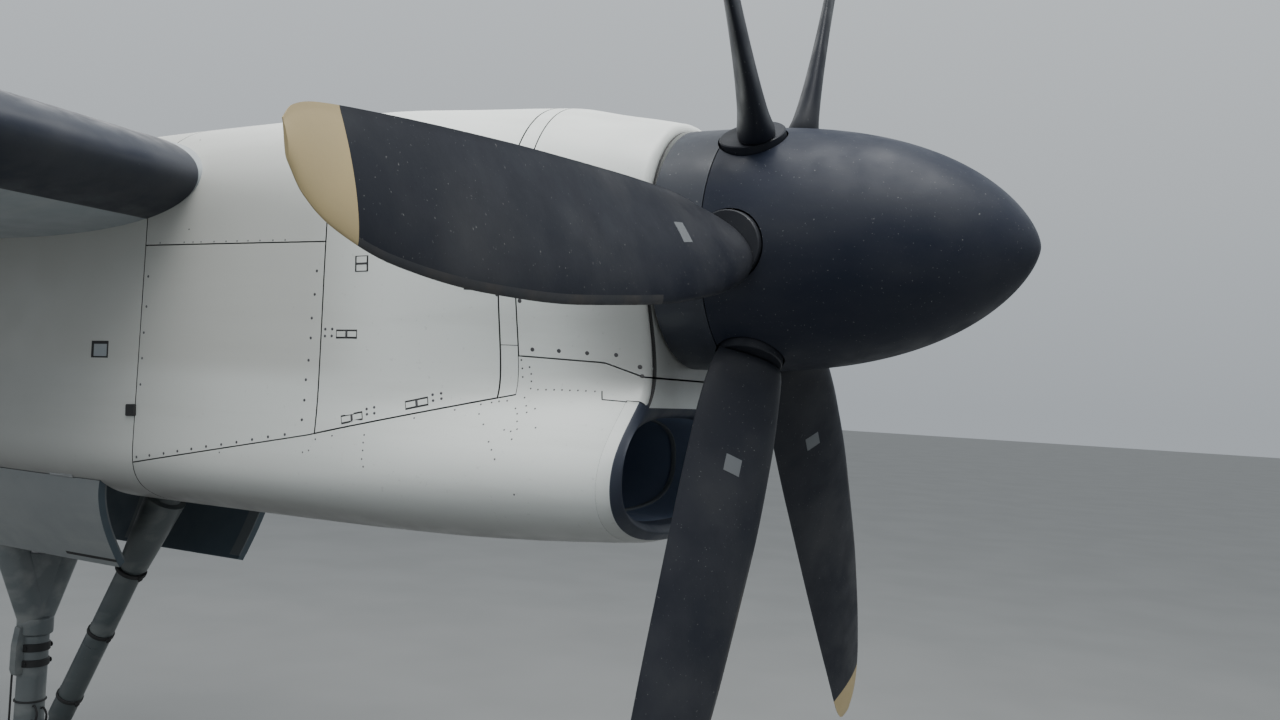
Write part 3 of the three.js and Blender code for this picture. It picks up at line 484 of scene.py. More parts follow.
def makePaint(name, color, grimeShare, paintedShadeAndGrime=False):
    # paint with random patches, streaks and spots of soiling; on the nacelle it also gets painted shade low down,
    # under the wing, on the upper sides and behind the spinner, and a darker tone toward the tail that is partly
    # soiling and partly painted shade
    material, tree, shader = newMaterial(name, color, 0.42)
    shader.inputs["Coat Weight"].default_value = 0.12
    shader.inputs["Coat Roughness"].default_value = 0.25
    patches = addNoise(tree, 1.6, 6, (0.5, 1, 1), 0.42, 0.75)
    streaks = addNoise(tree, 9.0, 5, (0.10, 1, 1), 0.50, 0.80)
    spots = addNoise(tree, 60.0, 3, (1, 1, 1), 0.66, 0.76)
    layers = [(paints["grimeAndShade"], timesValue(tree, patches, grimeShare * 0.35)),
              (paints["grimeAndShade"], timesValue(tree, streaks, grimeShare * 0.55)),
              (paints["sootAndShade"], timesValue(tree, spots, grimeShare * 0.35))]
    if paintedShadeAndGrime:
        for paint, patch, axis in (("grimeAndShade", "rear", "X"), ("sootAndShade", "wingShadow", "X"), ("sootAndShade", "belly", "Z")):
            span, share = shadeAndGrime[patch]
            layers.append((paints[paint], timesValue(tree, addHeight(tree, *span, axis), share)))
        # painted shade: above the intake the upper side is darker behind the doors, and the front is darker behind
        # the spinner, as its shadow
        aboveIntake = addHeight(tree, *shadeAndGrime["aboveIntake"])
        for paint, patch in (("grimeAndShade", "panels"), ("sootAndShade", "front")):
            heights, places, share = shadeAndGrime[patch]
            mask = timesValue(tree, addHeight(tree, *heights), addHeight(tree, *places, "X"))
            layers.append((paints[paint], timesValue(tree, timesValue(tree, mask, aboveIntake), share)))
    tintBy(tree, shader, layers)
    roughBy(tree, shader, addNoise(tree, 7.0, 6), 0.34, 0.56)
    bumpBy(tree, shader, addNoise(tree, 2.2, 3, (1, 1, 1), 0.2, 0.8), 0.12, 0.004)
    return material


def makeDark(name, color, roughness, specks, specular=0.5):
    # rubber or dark paint, dusty and with small pale specks
    material, tree, shader = newMaterial(name, color, roughness)
    shader.inputs["Specular IOR Level"].default_value = specular
    dust = addNoise(tree, 3.0, 6, (0.4, 1, 1), 0.45, 0.80)
    dots = addNoise(tree, 140.0, 2, (1, 1, 1), 0.70, 0.78)
    tintBy(tree, shader, [(paints["dust"], timesValue(tree, dust, 0.30)),
                          (paints["speck"], timesValue(tree, dots, specks))])
    roughBy(tree, shader, addNoise(tree, 12.0, 5), roughness - 0.07, roughness + 0.10)
    bumpBy(tree, shader, addNoise(tree, 90.0, 3), 0.10, 0.0006)
    return material


def makeMetal(name, color, roughness, stain="stain", stained=0.4, metallic=1.0):
    # metal with stains in its colour and gloss
    material, tree, shader = newMaterial(name, color, roughness, metallic)
    stains = timesValue(tree, addNoise(tree, 8.0, 7, low=0.45, high=0.75), stained)
    tintBy(tree, shader, [(paints[stain], stains)])
    roughBy(tree, shader, addNoise(tree, 30.0, 6), roughness - 0.06, roughness + 0.16)
    bumpBy(tree, shader, addNoise(tree, 120.0, 2), 0.08, 0.0005)
    return material


def makeMaterials():
    # finish: name of its material, and what its maker takes
    kinds = (
        # share of grime
        (makePaint, {"cowling": ("cowlingPaint", 0.5, True), "wing": ("wingPaint", 0.6), "gear": ("gearPaint", 0.8),
                     "strut": ("strutPaint", 0.6), "bay": ("bayPaint", 0.9), "door": ("gearDoorPaint", 0.7)}),
        # roughness, specks, gloss
        (makeDark, {
            "spinner": ("spinnerPaint", 0.42, 0.4, 0.13), "ring": ("spinnerRingPaint", 0.38, 0.5, 0.35),
            "blade": ("bladePaint", 0.46, 0.35, 0.26), "label": ("blankLabel", 0.50, 0.0, 0.4),
            "tip": ("tipPaint", 0.50, 0.10), "boot": ("bootRubber", 0.40, 0.10), "duct": ("ductLining", 0.62, 0.10),
            "lip": ("lipRubber", 0.50, 0.15, 0.4), "tyre": ("tyreRubber", 0.78, 0.15, 0.3),
            "seal": ("sealRubber", 0.65, 0.0), "lining": ("doorLining", 0.60, 0.10),
            "frame": ("doorFrame", 0.55, 0.10),
        }),
        # roughness, what stains it, how much, how metallic
        (makeMetal, {
            "steel": ("bareSteel", 0.36), "chrome": ("chromedSteel", 0.12, "stain", 0.08),
            "heat": ("heatedSteel", 0.40, "burn", 0.8), "edge": ("nickelEdge", 0.46, "stain", 0.4, 0.7),
            "engine": ("engineCastings", 0.48), "fastener": ("fastenerSteel", 0.45, "stain", 0.4, 0.6),
        }),
    )
    made = {finish: make(name, paints[finish], *values) for make, rows in kinds
            for finish, (name, *values) in rows.items()}
    print("materials ready:", len(made))
    return made


finishes = makeMaterials()
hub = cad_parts["propeller_hub"]  # its own mesh stays, inside the spinner
hub.data.materials.clear()
hub.data.materials.append(finishes["steel"])


# Round and plate parts
def lathe(profile, start, end, sides=64, shares=True):
    # profile rows: place along from start to end, radius; closed with flat ends, or a ring if it closes itself
    start, end = np.asarray(start, float), np.asarray(end, float)
    along = end - start
    length = np.linalg.norm(along)
    along = along / length
    across = unit(np.cross(along, (0, 0, 1) if abs(along[2]) < 0.9 else (1, 0, 0)))
    other = np.cross(along, across)
    turn = fullTurn(sides)
    wheel = np.cos(turn)[:, None] * across + np.sin(turn)[:, None] * other
    ringShape = profile[0] == profile[-1]
    rows = profile[:-1] if ringShape else profile
    rings = [start + along * (place * length if shares else place) + wheel * radius for place, radius in rows]
    verts = np.concatenate(rings)
    faces = gridQuads(len(rows), sides, closed=True)[:, ::-1].tolist()
    if ringShape:
        last = (len(rows) - 1) * sides
        faces += [[(j + 1) % sides, j, last + j, last + (j + 1) % sides] for j in range(sides)]
    else:
        faces += [list(range(sides)), [(len(rows) - 1) * sides + j for j in range(sides)][::-1]]
    return verts, faces


def steppedRod(rows, start, end, sides=64):
    # rows: metres along, radius
    return lathe(rows, start, end, sides, shares=False)


def rod(radius, start, end, sides):
    return lathe([(0, radius), (1, radius)], start, end, sides)


def pinAcross(radius, half, x, z, sides=64):
    # a rod from the inboard to the outboard side
    return rod(radius, (x, -half, z), (x, half, z), sides)


def onBothSides(outline, near, far):
    # two plates, inboard and outboard of the middle, from near to far
    return [slab(outline, *sorted((side * near, side * far))) for side in (-1, 1)]


def slab(outline, low, high, across="Y"):
    # a plate: outline points in the two other axes, from low to high along one axis
    outline = np.asarray(outline, float)
    layers = []
    for value in (low, high):
        columns = [outline[:, 0], outline[:, 1]]
        columns.insert("XYZ".index(across), np.full(len(outline), float(value)))
        layers.append(np.stack(columns, -1))
    n = len(outline)
    faces = [list(range(n)), list(range(2 * n - 1, n - 1, -1))]
    faces += [[(j + 1) % n, j, n + j, n + (j + 1) % n] for j in range(n)]
    return np.concatenate(layers), faces


def loftRings(rings):
    count = len(rings[0])
    faces = gridQuads(len(rings), count, closed=True).tolist()
    faces += [list(range(count))[::-1], [(len(rings) - 1) * count + j for j in range(count)]]
    return np.concatenate(rings), faces


def makeSolid(name, parts, bevel, segments=2, angle=38):
    # closed shapes in one piece, all faces turned outward and their edges rounded
    mesh = bpy.data.meshes.new(name)
    work = bmesh.new()
    for verts, faces in parts:
        made = [work.verts.new(Vector(v)) for v in np.asarray(verts) + rimPlace]
        for face in faces:
            work.faces.new([made[i] for i in face])
    bmesh.ops.recalc_face_normals(work, faces=work.faces)
    work.to_mesh(mesh)
    work.free()
    mesh.shade_smooth()
    mesh.set_sharp_from_angle(angle=radians(angle))
    thing = placeMesh(name, mesh)
    if bevel:
        rounding = thing.modifiers.new("rounding", "BEVEL")
        rounding.width = bevel
        rounding.segments = segments
        rounding.limit_method = "ANGLE"
        rounding.angle_limit = radians(angle)
        rounding.harden_normals = True
    return thing


def addSolid(name, parts, bevel, body, finish, replaced=None, segments=2, angle=38):
    return finishPiece(makeSolid(name, parts, bevel, segments, angle), body, finish, replaced)


# Cowlings
def makePanel(name, grids, body, replaced, finish="cowling", thickness=seams["skin"],
              shadedSeams=True):
    shells = [shell(points, normals, thickness) for points, normals in grids]
    panel = finishPiece(makeMesh(name, *joinShells(shells)), body, finish, replaced)
    if shadedSeams:
        # the cut edges are drawn dark, as painted shade in the gaps between panels, so the seams read as lines
        panel.data.materials.append(finishes["seal"])
        setFinishes(panel, np.concatenate([np.arange(len(faces)) >= 2 * quadCount(points)
                                           for (_, faces, _), (points, _) in zip(shells, grids)]))
    return panel


def overCrown(front, rear, edge, columns=96, size=0.03):
    # one grid from edge to edge over the crown; edge gives the arc where it ends
    return skinGrid(steps(front, rear, size), lambda x: -edge(x), edge, columns)


def underBelly(front, rear, edge, size=0.03):
    return skinGrid(steps(front, rear, size), edge, lambda x: 2 - edge(x), seams["bellyColumns"])


def roundNose(grid, radius):
    # more rows ahead of a grid's first row, turning in to face forward
    points, normals = grid
    ahead = np.array([1.0, 0, 0])
    rows, turned = [], []
    for turn in np.linspace(pi / 2, 0, seams["noseSteps"] + 1)[:-1]:
        rows.append(points[0] - normals[0] * radius * (1 - cos(turn)) + ahead * radius * sin(turn))
        turned.append(normals[0] * cos(turn) + ahead * sin(turn))
    return np.concatenate([rows, points]), np.concatenate([turned, normals])


def bothSides(front, rear, top, bottom, columns=48, size=0.03):
    return [skinGrid(steps(front, rear, size), lambda x: side * top(x), lambda x: side * bottom(x), columns)
            for side in (1, -1)]


def plateAcross(x, outline, hole):
    # a flat wall facing forward, between an outline of [y, z] and a round hole on the axis
    ring = np.concatenate([outline, outline[:1]])
    turned = unit(ring)
    rows = [ring * (1 - share) + turned * hole * share for share in np.linspace(0, 1, 4)]
    points = np.array([np.column_stack([np.full(len(ring), x), row]) for row in rows])
    normals = np.zeros_like(points)
    normals[..., 0] = 1
    return points, normals


def addCowlings():
    s, gap = seams, seams["gap"]
    edge = lambda x: arcAtHeight(x, frontLower(x) + gap)
    grid = roundNose(overCrown(s["front"] - s["nose"], s["frontRear"] + gap, edge, size=0.02), s["nose"])
    outline = grid[0][0][:, 1:]
    across = np.linspace(outline[-1, 0], outline[0, 0], s["wallColumns"])[1:-1]
    base = np.column_stack([across, np.full(len(across), outline[0, 1])])
    wall = plateAcross(s["front"], np.concatenate([outline, base]), s["shaftHole"])
    makePanel("cowlFront", [grid, wall], "nacelle", "cowl_front")
    low = lambda x: arcAtHeight(x, diagonal(x) + gap)
    strip = (s["frontRear"] - gap, s["doorFront"] + gap)
    grids = [overCrown(*strip, lambda x: arcAtHeight(x, s["stripCut"] + gap / 2))]
    grids += bothSides(*strip, lambda x: arcAtHeight(x, s["stripCut"] - gap / 2), low, 16)
    makePanel("sealStrip", grids, "nacelle", "seal_strip")

    spine = overCrown(s["doorFront"] - gap, s["doorRear"] + gap, lambda x: arcAtWidth(x, s["spineEdge"]), 14)
    makePanel("crownSpine", [spine], "nacelle", "crown_spine")
    for name, side in sides.items():
        grid = skinGrid(steps(s["doorFront"] - s["doorGap"], s["doorRear"] + s["doorGap"]),
                        lambda x: side * arcAtWidth(x, s["doorEdge"]),
                        lambda x: side * arcAtHeight(x, diagonal(x) + s["doorGap"]), 80)
        makePanel(f"cowlDoor_{name}", [grid], f"cowl_door_{name}", f"cowl_door_{name}")
        addPianoHinge(name, side)

    makePanel("upperSkin", [overCrown(s["doorRear"] - gap, s["panelRear"] + gap,
                                      lambda x: arcAtHeight(x, s["side"] + gap))], "nacelle", "upper_skin")
    for name, side in sides.items():
        grid = skinGrid(steps(s["doorRear"] - gap, s["panelRear"] + gap),
                        lambda x: side * arcAtHeight(x, s["side"] - gap),
                        lambda x: side * arcAtHeight(x, diagonal(x) + gap), 60)
        makePanel(f"sidePanel_{name}", [grid], "nacelle", f"side_panel_{name}")
    print("cowlings ready")


def addPianoHinge(name, side):
    # knuckles of the spine and of the door take turns along the hinge line
    h = hinge
    pinX = np.linspace(seams["doorFront"] - h["inset"], seams["doorRear"] + h["inset"], h["ends"])
    pins = {"nacelle": [], f"cowl_door_{name}": []}
    for k, (a, b) in enumerate(zip(pinX[:-1], pinX[1:])):
        ends = [np.array([x, side * seams["pinY"], np.interp(x, *zip(*seams["pinLine"]))])
                for x in (a - h["gap"], b + h["gap"])]
        leaf = np.array([0, (h["beside"] if k % 2 else -h["beside"]) * side, h["above"]])
        body = f"cowl_door_{name}" if k % 2 else "nacelle"
        pins[body] += [rod(h["barrel"], ends[0], ends[1], 20), rod(h["leaf"], ends[0] + leaf, ends[1] + leaf, 12)]
    for body, parts in pins.items():
        kind = "Fixed" if body == "nacelle" else "Door"
        addSolid(f"cowlHinge{kind}_{name}", parts, 0.0006, body, "steel")


addCamera()
addStudio()
addCowlings()


# Air intake
intake = {
    # x, half-width, half-height, middle height of the opening
    "duct": [(-0.012, 0.440, 0.184, -0.714), (-0.040, 0.422, 0.170, -0.714), (-0.075, 0.414, 0.165, -0.714),
             (-0.400, 0.380, 0.155, -0.708), (-0.900, 0.300, 0.135, -0.700)],
    "power": 2.7, "points": 160, "noseDepth": 0.024, "noseSteps": 15, "paintedRows": 1, "end": -0.900,
    "throat": (-0.235, 0.016, 0.007),  # x, width and depth of a ring inside the duct
    "wall": 0.010, "bulkhead": 0.012, "ductStep": 0.04, "densePoints": 4000, "wallSteps": 40,
}


def ductRing(x, grow=0.0):
    half, high, middle = hermite(intake["duct"], x)
    turn = fullTurn(intake["points"])
    bend = lambda v: np.sign(v) * np.abs(v) ** (2 / intake["power"])
    return np.stack([np.full(len(turn), x), (half + grow) * bend(np.sin(turn)),
                     middle + (high + grow) * bend(np.cos(turn))], -1)


def lipOutline(x, ring):
    # where lines from the middle of the duct through its ring meet the skin or the lip's flat top
    line = profileAt(x)
    line = line[line[:, 1] <= seams["lipTop"]]
    edge = skinAt(x, arcAtHeight(x, seams["lipTop"]))
    outline = np.concatenate([[[0, edge[2]]], [edge[1:]], line, line[::-1] * (-1, 1), [[-edge[1], edge[2]]],
                              [[0, edge[2]]]])
    middle = np.array([0, hermite(intake["duct"], x)[2]])
    dense, at = np.linspace(0, 1, intake["densePoints"]), np.linspace(0, 1, len(outline))
    along = np.stack([np.interp(dense, at, outline[:, 0]), np.interp(dense, at, outline[:, 1])], -1) - middle
    angle = np.mod(np.arctan2(along[:, 0], along[:, 1]), 2 * pi)
    order = np.argsort(angle)
    wanted = np.mod(np.arctan2(ring[:, 1], ring[:, 2] - middle[1]), 2 * pi)
    reach = np.interp(wanted, angle[order], np.linalg.norm(along, axis=1)[order], period=2 * pi)
    return np.stack([np.full(len(ring), x), np.sin(wanted) * reach, middle[1] + np.cos(wanted) * reach], -1)


def addIntake():
    s, gap, lipGap = seams, seams["gap"], seams["lipGap"]
    rear = ductRing(s["lip"] + lipGap)
    rings = [lipOutline(s["lip"] + lipGap, rear)]
    for turn in np.linspace(0, pi, intake["noseSteps"]):
        x = s["front"] - intake["noseDepth"] * (1 - sin(turn))
        ring = ductRing(x)
        share = (1 - cos(turn)) / 2
        rings.append(lipOutline(x, ring) * (1 - share) + ring * share)
    rings.append(rear)
    lip = addSolid("intakeLip", [joinRings(rings)], 0, "nacelle", "lip", "intake_lip", angle=50)
    # the outer face of the lip is painted like the cowling, the inner one is dark
    lip.data.materials.append(finishes["cowling"])
    setFinishes(lip, np.arange(len(lip.data.polygons)) < intake["paintedRows"] * intake["points"])

    # the duct is lined inside and plain outside
    xs = steps(s["lip"] - gap, intake["end"], intake["ductStep"])
    points = np.array([np.concatenate([ductRing(x), ductRing(x)[:1]]) for x in xs])
    middle = np.array([[(x, 0, hermite(intake["duct"], x)[2])] for x in xs])
    normals = unit((middle - points) * (0, 1, 1))
    duct = makeMesh("intakeDuct", *shell(points, normals, intake["wall"]))
    finishPiece(duct, "nacelle", "duct", "intake_duct")
    duct.data.materials.append(finishes["frame"])
    setFinishes(duct, np.arange(len(duct.data.polygons)) >= quadCount(points))
    plate = slab(ductRing(intake["end"], intake["bulkhead"])[:, 1:], intake["end"] - intake["bulkhead"],
                 intake["end"] + 0.001, "X")
    addSolid("ductBulkhead", [plate], 0.002, "nacelle", "duct")
    x, width, depth = intake["throat"]
    rings = [ductRing(x, 0.001), ductRing(x, -depth), ductRing(x - width, -depth), ductRing(x - width, 0.001)]
    addSolid("ductThroatRing", [joinRings(rings)], 0.002, "nacelle", "frame")

    low = lambda x: arcAtHeight(x, diagonal(x) - gap)
    chin = lambda x: arcAtHeight(x, frontLower(x) - gap)
    cheek = s["front"] - s["nose"]
    grids = [underBelly(s["frontRear"], s["panelRear"] + gap, low),
             underBelly(s["lip"] - lipGap, s["frontRear"], chin, 0.02)]
    for grid in bothSides(cheek, s["lip"] - lipGap, chin, lambda x: arcAtHeight(x, s["lipTop"] + lipGap), 8, 0.012):
        grids.append(roundNose(grid, s["nose"]))
    edges = [grid[0][0] for grid in grids[2:]]
    share = np.linspace(0, 1, intake["wallSteps"])[None, :, None]
    wall = edges[0][:, None] * (1 - share) + edges[1][:, None] * share
    wall[..., 0] = s["front"]
    grids.append((wall, np.broadcast_to((1.0, 0, 0), wall.shape).copy()))
    makePanel("intakeCowl", grids, "nacelle", "intake_cowl")
    print("intake ready")


def joinRings(rings):
    # rings that close both ways, as one solid
    return np.concatenate(rings), gridQuads(len(rings), len(rings[0]), True, True).tolist()


# Propeller
spinner = {"radius": 0.386, "length": 1.052, "power": 2.85, "round": 0.636, "skin": 0.006,
           "ring": 0.165, "seam": 0.0016, "sides": 192, "stations": 90, "lastTurn": 0.02, "solidBelow": 0.03,
           "point": 0.0005, "slopeStep": 1e-4, "turnedFace": 0.93}
propeller = {
    "angles": (185.5, 125.5, 65.5, 5.5, -54.5, 245.5), "bladeX": 0.250, "hole": 0.106, "holeSpan": (0.25, 0.45),
    "shank": 0.092, "groove": 0.006, "collar": 0.1005, "foot": 0.1905, "footTop": 0.3925,
    # where the rings of a blade lie: the first, those of its length, and those of its tip
    "spans": (0.3975, 0.400, 1.95, 1.96, 2.056), "stations": (72, 16), "steps": 26,
    # the blade's root is drawn in over its last millimetres: up to where, by how much chord and thickness
    "rootEnd": 0.405, "rootChord": 0.010, "rootThick": 0.012,
    # distance from the axis, chord, thickness, pitch, how far the chord's middle lies back
    "sections": [
        (0.397, 0.235, 0.120, 33, 0.000), (0.480, 0.275, 0.084, 31, -0.001), (0.650, 0.318, 0.058, 27, -0.006),
        (0.950, 0.342, 0.038, 22, -0.012), (1.300, 0.338, 0.027, 17, -0.010), (1.600, 0.310, 0.021, 13, 0.000),
        (1.850, 0.256, 0.016, 10, 0.020), (1.980, 0.194, 0.013, 9, 0.044), (2.035, 0.130, 0.010, 8, 0.062),
        (2.057, 0.060, 0.008, 8, 0.074),
    ],
    "tipFrom": 1.935, "tipTo": 2.060, "edgeFrom": 0.95, "edgeShare": 0.05,
    "fullness": (0.62, 0.8), "edgeHalf": 0.0012, "bow": 0.1,  # section: powers of its outline, least half, bow
    "labelSpan": (0.712, 0.762), "labelColumns": (12, 16),
}


def spinnerRadius(x):
    share = np.clip(x / spinner["length"], 0, 1) ** spinner["power"]
    return spinner["radius"] * np.maximum(0, 1 - share) ** spinner["round"]


def bladeAxes(angle):
    turn = radians(angle)
    axis = np.array([0, cos(turn), sin(turn)])
    return axis, np.cross((1, 0, 0), axis)


def onBlade(angle, distance):
    return bladeAxes(angle)[0] * distance + (propeller["bladeX"], 0, 0)


def addSpinner():
    stations = spinner["length"] * np.sin(np.linspace(0, pi / 2 - spinner["lastTurn"], spinner["stations"]))
    ringEnd = spinner["ring"]
    for name, node, start, stop in (("spinnerShell", "spinner_shell", ringEnd + spinner["seam"], None),
                                    ("spinnerRing", "spinner_rear_ring", 0.0, ringEnd - spinner["seam"])):
        xs = [x for x in stations if x > start and (stop is None or x < stop)]
        xs = [start] + xs + ([] if stop is None else [stop])
        outer = [(x, float(spinnerRadius(x))) for x in xs]
        inner = [(x, r - spinner["skin"]) for x, r in outer if r > spinner["solidBelow"]][::-1]
        if stop is None:
            outer.append((spinner["length"], spinner["point"]))
            inner.insert(0, (spinner["length"] - spinner["skin"], spinner["point"]))
        profile = outer + inner
        body = makeSolid(name, [lathe(profile + profile[:1], (0, 0, 0), (1, 0, 0), spinner["sides"])], 0)
        cutHoles(body)
        restoreSmoothness(body)
        finishPiece(body, "propeller", "ring" if stop else "spinner", node)
    print("spinner ready")


def cutHoles(body):
    first, last = propeller["holeSpan"]
    holes = makeSolid("bladeHoles", [rod(propeller["hole"], onBlade(angle, first), onBlade(angle, last), 96)
                                     for angle in propeller["angles"]], 0)
    cut = body.modifiers.new("holes", "BOOLEAN")
    cut.object = holes
    cut.operation = "DIFFERENCE"
    cut.solver = "EXACT"
    bpy.context.view_layer.update()
    shape = bpy.data.meshes.new_from_object(body.evaluated_get(bpy.context.evaluated_depsgraph_get()))
    body.modifiers.clear()
    body.data = shape
    bpy.data.objects.remove(holes)


def restoreSmoothness(body):
    # loops on the turned faces get the spinner's own normals, so the cut edges stay crisp
    mesh = body.data
    mesh.shade_smooth()
    count = len(mesh.loops)
    at, owner = np.empty(len(mesh.vertices) * 3), np.empty(count, int)
    mesh.vertices.foreach_get("co", at)
    mesh.loops.foreach_get("vertex_index", owner)
    flat = np.empty(len(mesh.polygons) * 3)
    mesh.polygons.foreach_get("normal", flat)
    totals = np.empty(len(mesh.polygons), int)
    mesh.polygons.foreach_get("loop_total", totals)
    faceNormal = np.repeat(flat.reshape(-1, 3), totals, axis=0)
    place = at.reshape(-1, 3)[owner] - rimPlace
    step, x = spinner["slopeStep"], place[:, 0]
    slope = (spinnerRadius(x + step) - spinnerRadius(x - step)) / (2 * step)
    away = unit(place * (0, 1, 1))
    turned = unit(away - slope[:, None] * np.array([1.0, 0, 0]))
    facing = np.sum(turned * faceNormal, axis=1)
    facing, limit = facing[:, None], spinner["turnedFace"]
    chosen = np.where(facing > limit, turned, np.where(facing < -limit, -turned, faceNormal))
    mesh.normals_split_custom_set(chosen.tolist())


def bladeSection(angle, row):
    distance, chord, thick, pitch, swept = row
    axis, turning = bladeAxes(angle)
    forward = np.array([1.0, 0, 0])
    turn = radians(pitch)
    chordwise = turning * cos(turn) + forward * sin(turn)
    facing = np.cross(axis, chordwise)
    share = (1 - np.cos(np.linspace(0, pi, propeller["steps"] + 1))) / 2
    inner, outer = propeller["fullness"]
    half = np.maximum(propeller["edgeHalf"], thick / 2 * np.sin(pi * share ** inner) ** outer)
    bow = propeller["bow"] * chord * share * (1 - share)
    share, bow = np.concatenate([share, share[::-1][1:-1]]), np.concatenate([bow, bow[::-1][1:-1]])
    half = np.concatenate([half, -half[::-1][1:-1]])
    half[0] = 0
    return ((propeller["bladeX"], 0, 0) + axis * distance + chordwise * (chord * (0.5 - share) - swept)[:, None]
            + facing * (bow + half)[:, None]), share


def addBlades():
    p = propeller
    table = p["sections"][::-1]
    root, lengthFrom, lengthTo, tipFrom, tipTo = p["spans"]
    spans = np.concatenate([[root], np.linspace(lengthFrom, lengthTo, p["stations"][0]),
                            np.linspace(tipFrom, tipTo, p["stations"][1])])
    shank, groove, collar = p["shank"], p["shank"] - p["groove"], p["collar"]
    footRows = [(0, shank), (0.55, shank), (0.58, groove), (0.72, groove), (0.75, shank), (0.80, shank),
                (0.83, collar), (0.985, collar), (1, collar - 0.003)]
    for number, angle in enumerate(p["angles"], 1):
        rings = []
        for span in spans:
            row = [span, *hermite(table, span)]
            if span < p["rootEnd"]:
                drawnIn = (p["rootEnd"] - span) / (p["rootEnd"] - root)
                row[1] -= p["rootChord"] * drawnIn
                row[2] -= p["rootThick"] * drawnIn
            ring, share = bladeSection(angle, row)
            rings.append(ring)
        blade = loftRings(rings)
        foot = lathe(footRows, onBlade(angle, p["foot"]), onBlade(angle, p["footTop"]), 96)
        name = f"blade_{number}"
        thing = addSolid(name, [blade, foot], 0, name, "blade", name, angle=40)
        colorBlade(thing, spans, share, len(rings[0]))
        for finish in ("tip", "edge"):
            thing.data.materials.append(finishes[finish])
        addBladeLabel(number, angle, table)
    print("blades ready")


def addBladeLabel(number, angle, table):
    # a blank pale patch near the root, on the front face
    first, last = propeller["labelColumns"]
    rows = [bladeSection(angle, [span, *hermite(table, span)])[0][first:last]
            for span in np.linspace(*propeller["labelSpan"], 6)]
    points = np.array(rows)
    normals = unit(np.cross(np.gradient(points, axis=1), np.gradient(points, axis=0)))
    normals *= np.sign(normals[..., :1])
    patch = makeMesh(f"bladeLabel_{number}", *shell(points + normals * 0.0006, normals, 0.0012))
    finishPiece(patch, f"blade_{number}", "label")


def colorBlade(thing, spans, share, columns):
    # the tip band and the metal strip along the leading edge are faces of their own material
    tip, edge = 1, 2
    numbers = np.zeros(len(thing.data.polygons))
    onEdge = (share + np.roll(share, -1)) / 2 < propeller["edgeShare"]
    for i, span in enumerate((spans[:-1] + spans[1:]) / 2):
        row = numbers[i * columns:(i + 1) * columns]
        if propeller["tipFrom"] < span < propeller["tipTo"]:
            row[:] = tip
        elif propeller["edgeFrom"] < span < propeller["tipFrom"]:
            row[onEdge] = edge
    numbers[(len(spans) - 1) * columns + 1] = tip  # the flat end of the blade
    setFinishes(thing, numbers)


addIntake()
addSpinner()
addBlades()


# Wing
wing = {
    "leading": [(1.200, -1.840), (0.500, -1.780), (-0.500, -1.780), (-1.600, -1.690)],
    "trailing": -4.740, "height": 0.230, "incidence": 3.0, "thickness": 0.14, "camber": 0.02,
    "inboard": -1.600, "outboard": 1.200, "boot": 0.260, "bootEnd": 0.500, "bootProud": 0.0015,
    "flapX": -4.020, "flapEnd": 0.505, "gap": 0.004, "blockPoints": 70,
    "ribShare": 0.985, "ribProud": 0.004, "ribEdge": 0.018, "stiffeners": (-2.15, -4.30, 7), "stiffenerHalf": 0.011,
    "stiffenerProud": 0.012, "bootColumns": 24, "bootRows": 61, "bootSkin": 0.006, "ribPoints": 121,
    # shares of the root of the chord's share and of its first four powers in the section's half thickness
    "section": (1.4845, -0.63, -1.758, 1.4215, -0.5075), "rearEdge": 0.002,
}


def leadingX(y):
    return float(np.interp(-y, [-r[0] for r in wing["leading"]], [r[1] for r in wing["leading"]]))


def wingPoints(y, spots, grow=0.0):
    # spots: root of the chord share, 0 at the leading edge, over 0 on top, under 0 below
    spots = np.asarray(spots, float)
    share = spots ** 2
    lead = leadingX(y)
    chord = lead - wing["trailing"]
    root, *powers = wing["section"]
    body = root * np.abs(spots) + sum(factor * share**k for k, factor in enumerate(powers, 1))
    half = wing["thickness"] * body * chord + wing["rearEdge"] * share
    bow = 4 * wing["camber"] * share * (1 - share) * chord
    turn = radians(wing["incidence"])
    along, up = -share * chord, bow + np.sign(spots) * half
    points = np.stack([lead + along * cos(turn), np.full(spots.shape, float(y)),
                       wing["height"] + along * sin(turn) + up], -1)
    if grow:
        points = points + wingNormals(y, spots) * grow
    return points


def wingNormals(y, spots):
    spots = np.asarray(spots, float)
    along = wingPoints(y, spots + 0.002) - wingPoints(y, spots - 0.002)
    return unit(np.cross((0.0, 1.0, 0.0), along))


def spotAt(y, x):
    return sqrt((leadingX(y) - x) / (leadingX(y) - wing["trailing"]))


def wingBlock(y0, y1, front, rear):
    # closed length of wing between two stations, from one chord place to another
    rings, count = [], wing["blockPoints"]
    for y in (y0, y1):
        a = 0.0 if front is None else spotAt(y, front)
        b = 1.0 if rear is None else spotAt(y, rear)
        if front is None:
            spots = np.linspace(b, -b, 2 * count + 1)
            rings.append(wingPoints(y, spots))
        else:
            rings.append(np.concatenate([wingPoints(y, np.linspace(b, a, count // 2)),
                                         wingPoints(y, np.linspace(-a, -b, count // 2))]))
    return loftRings(rings)


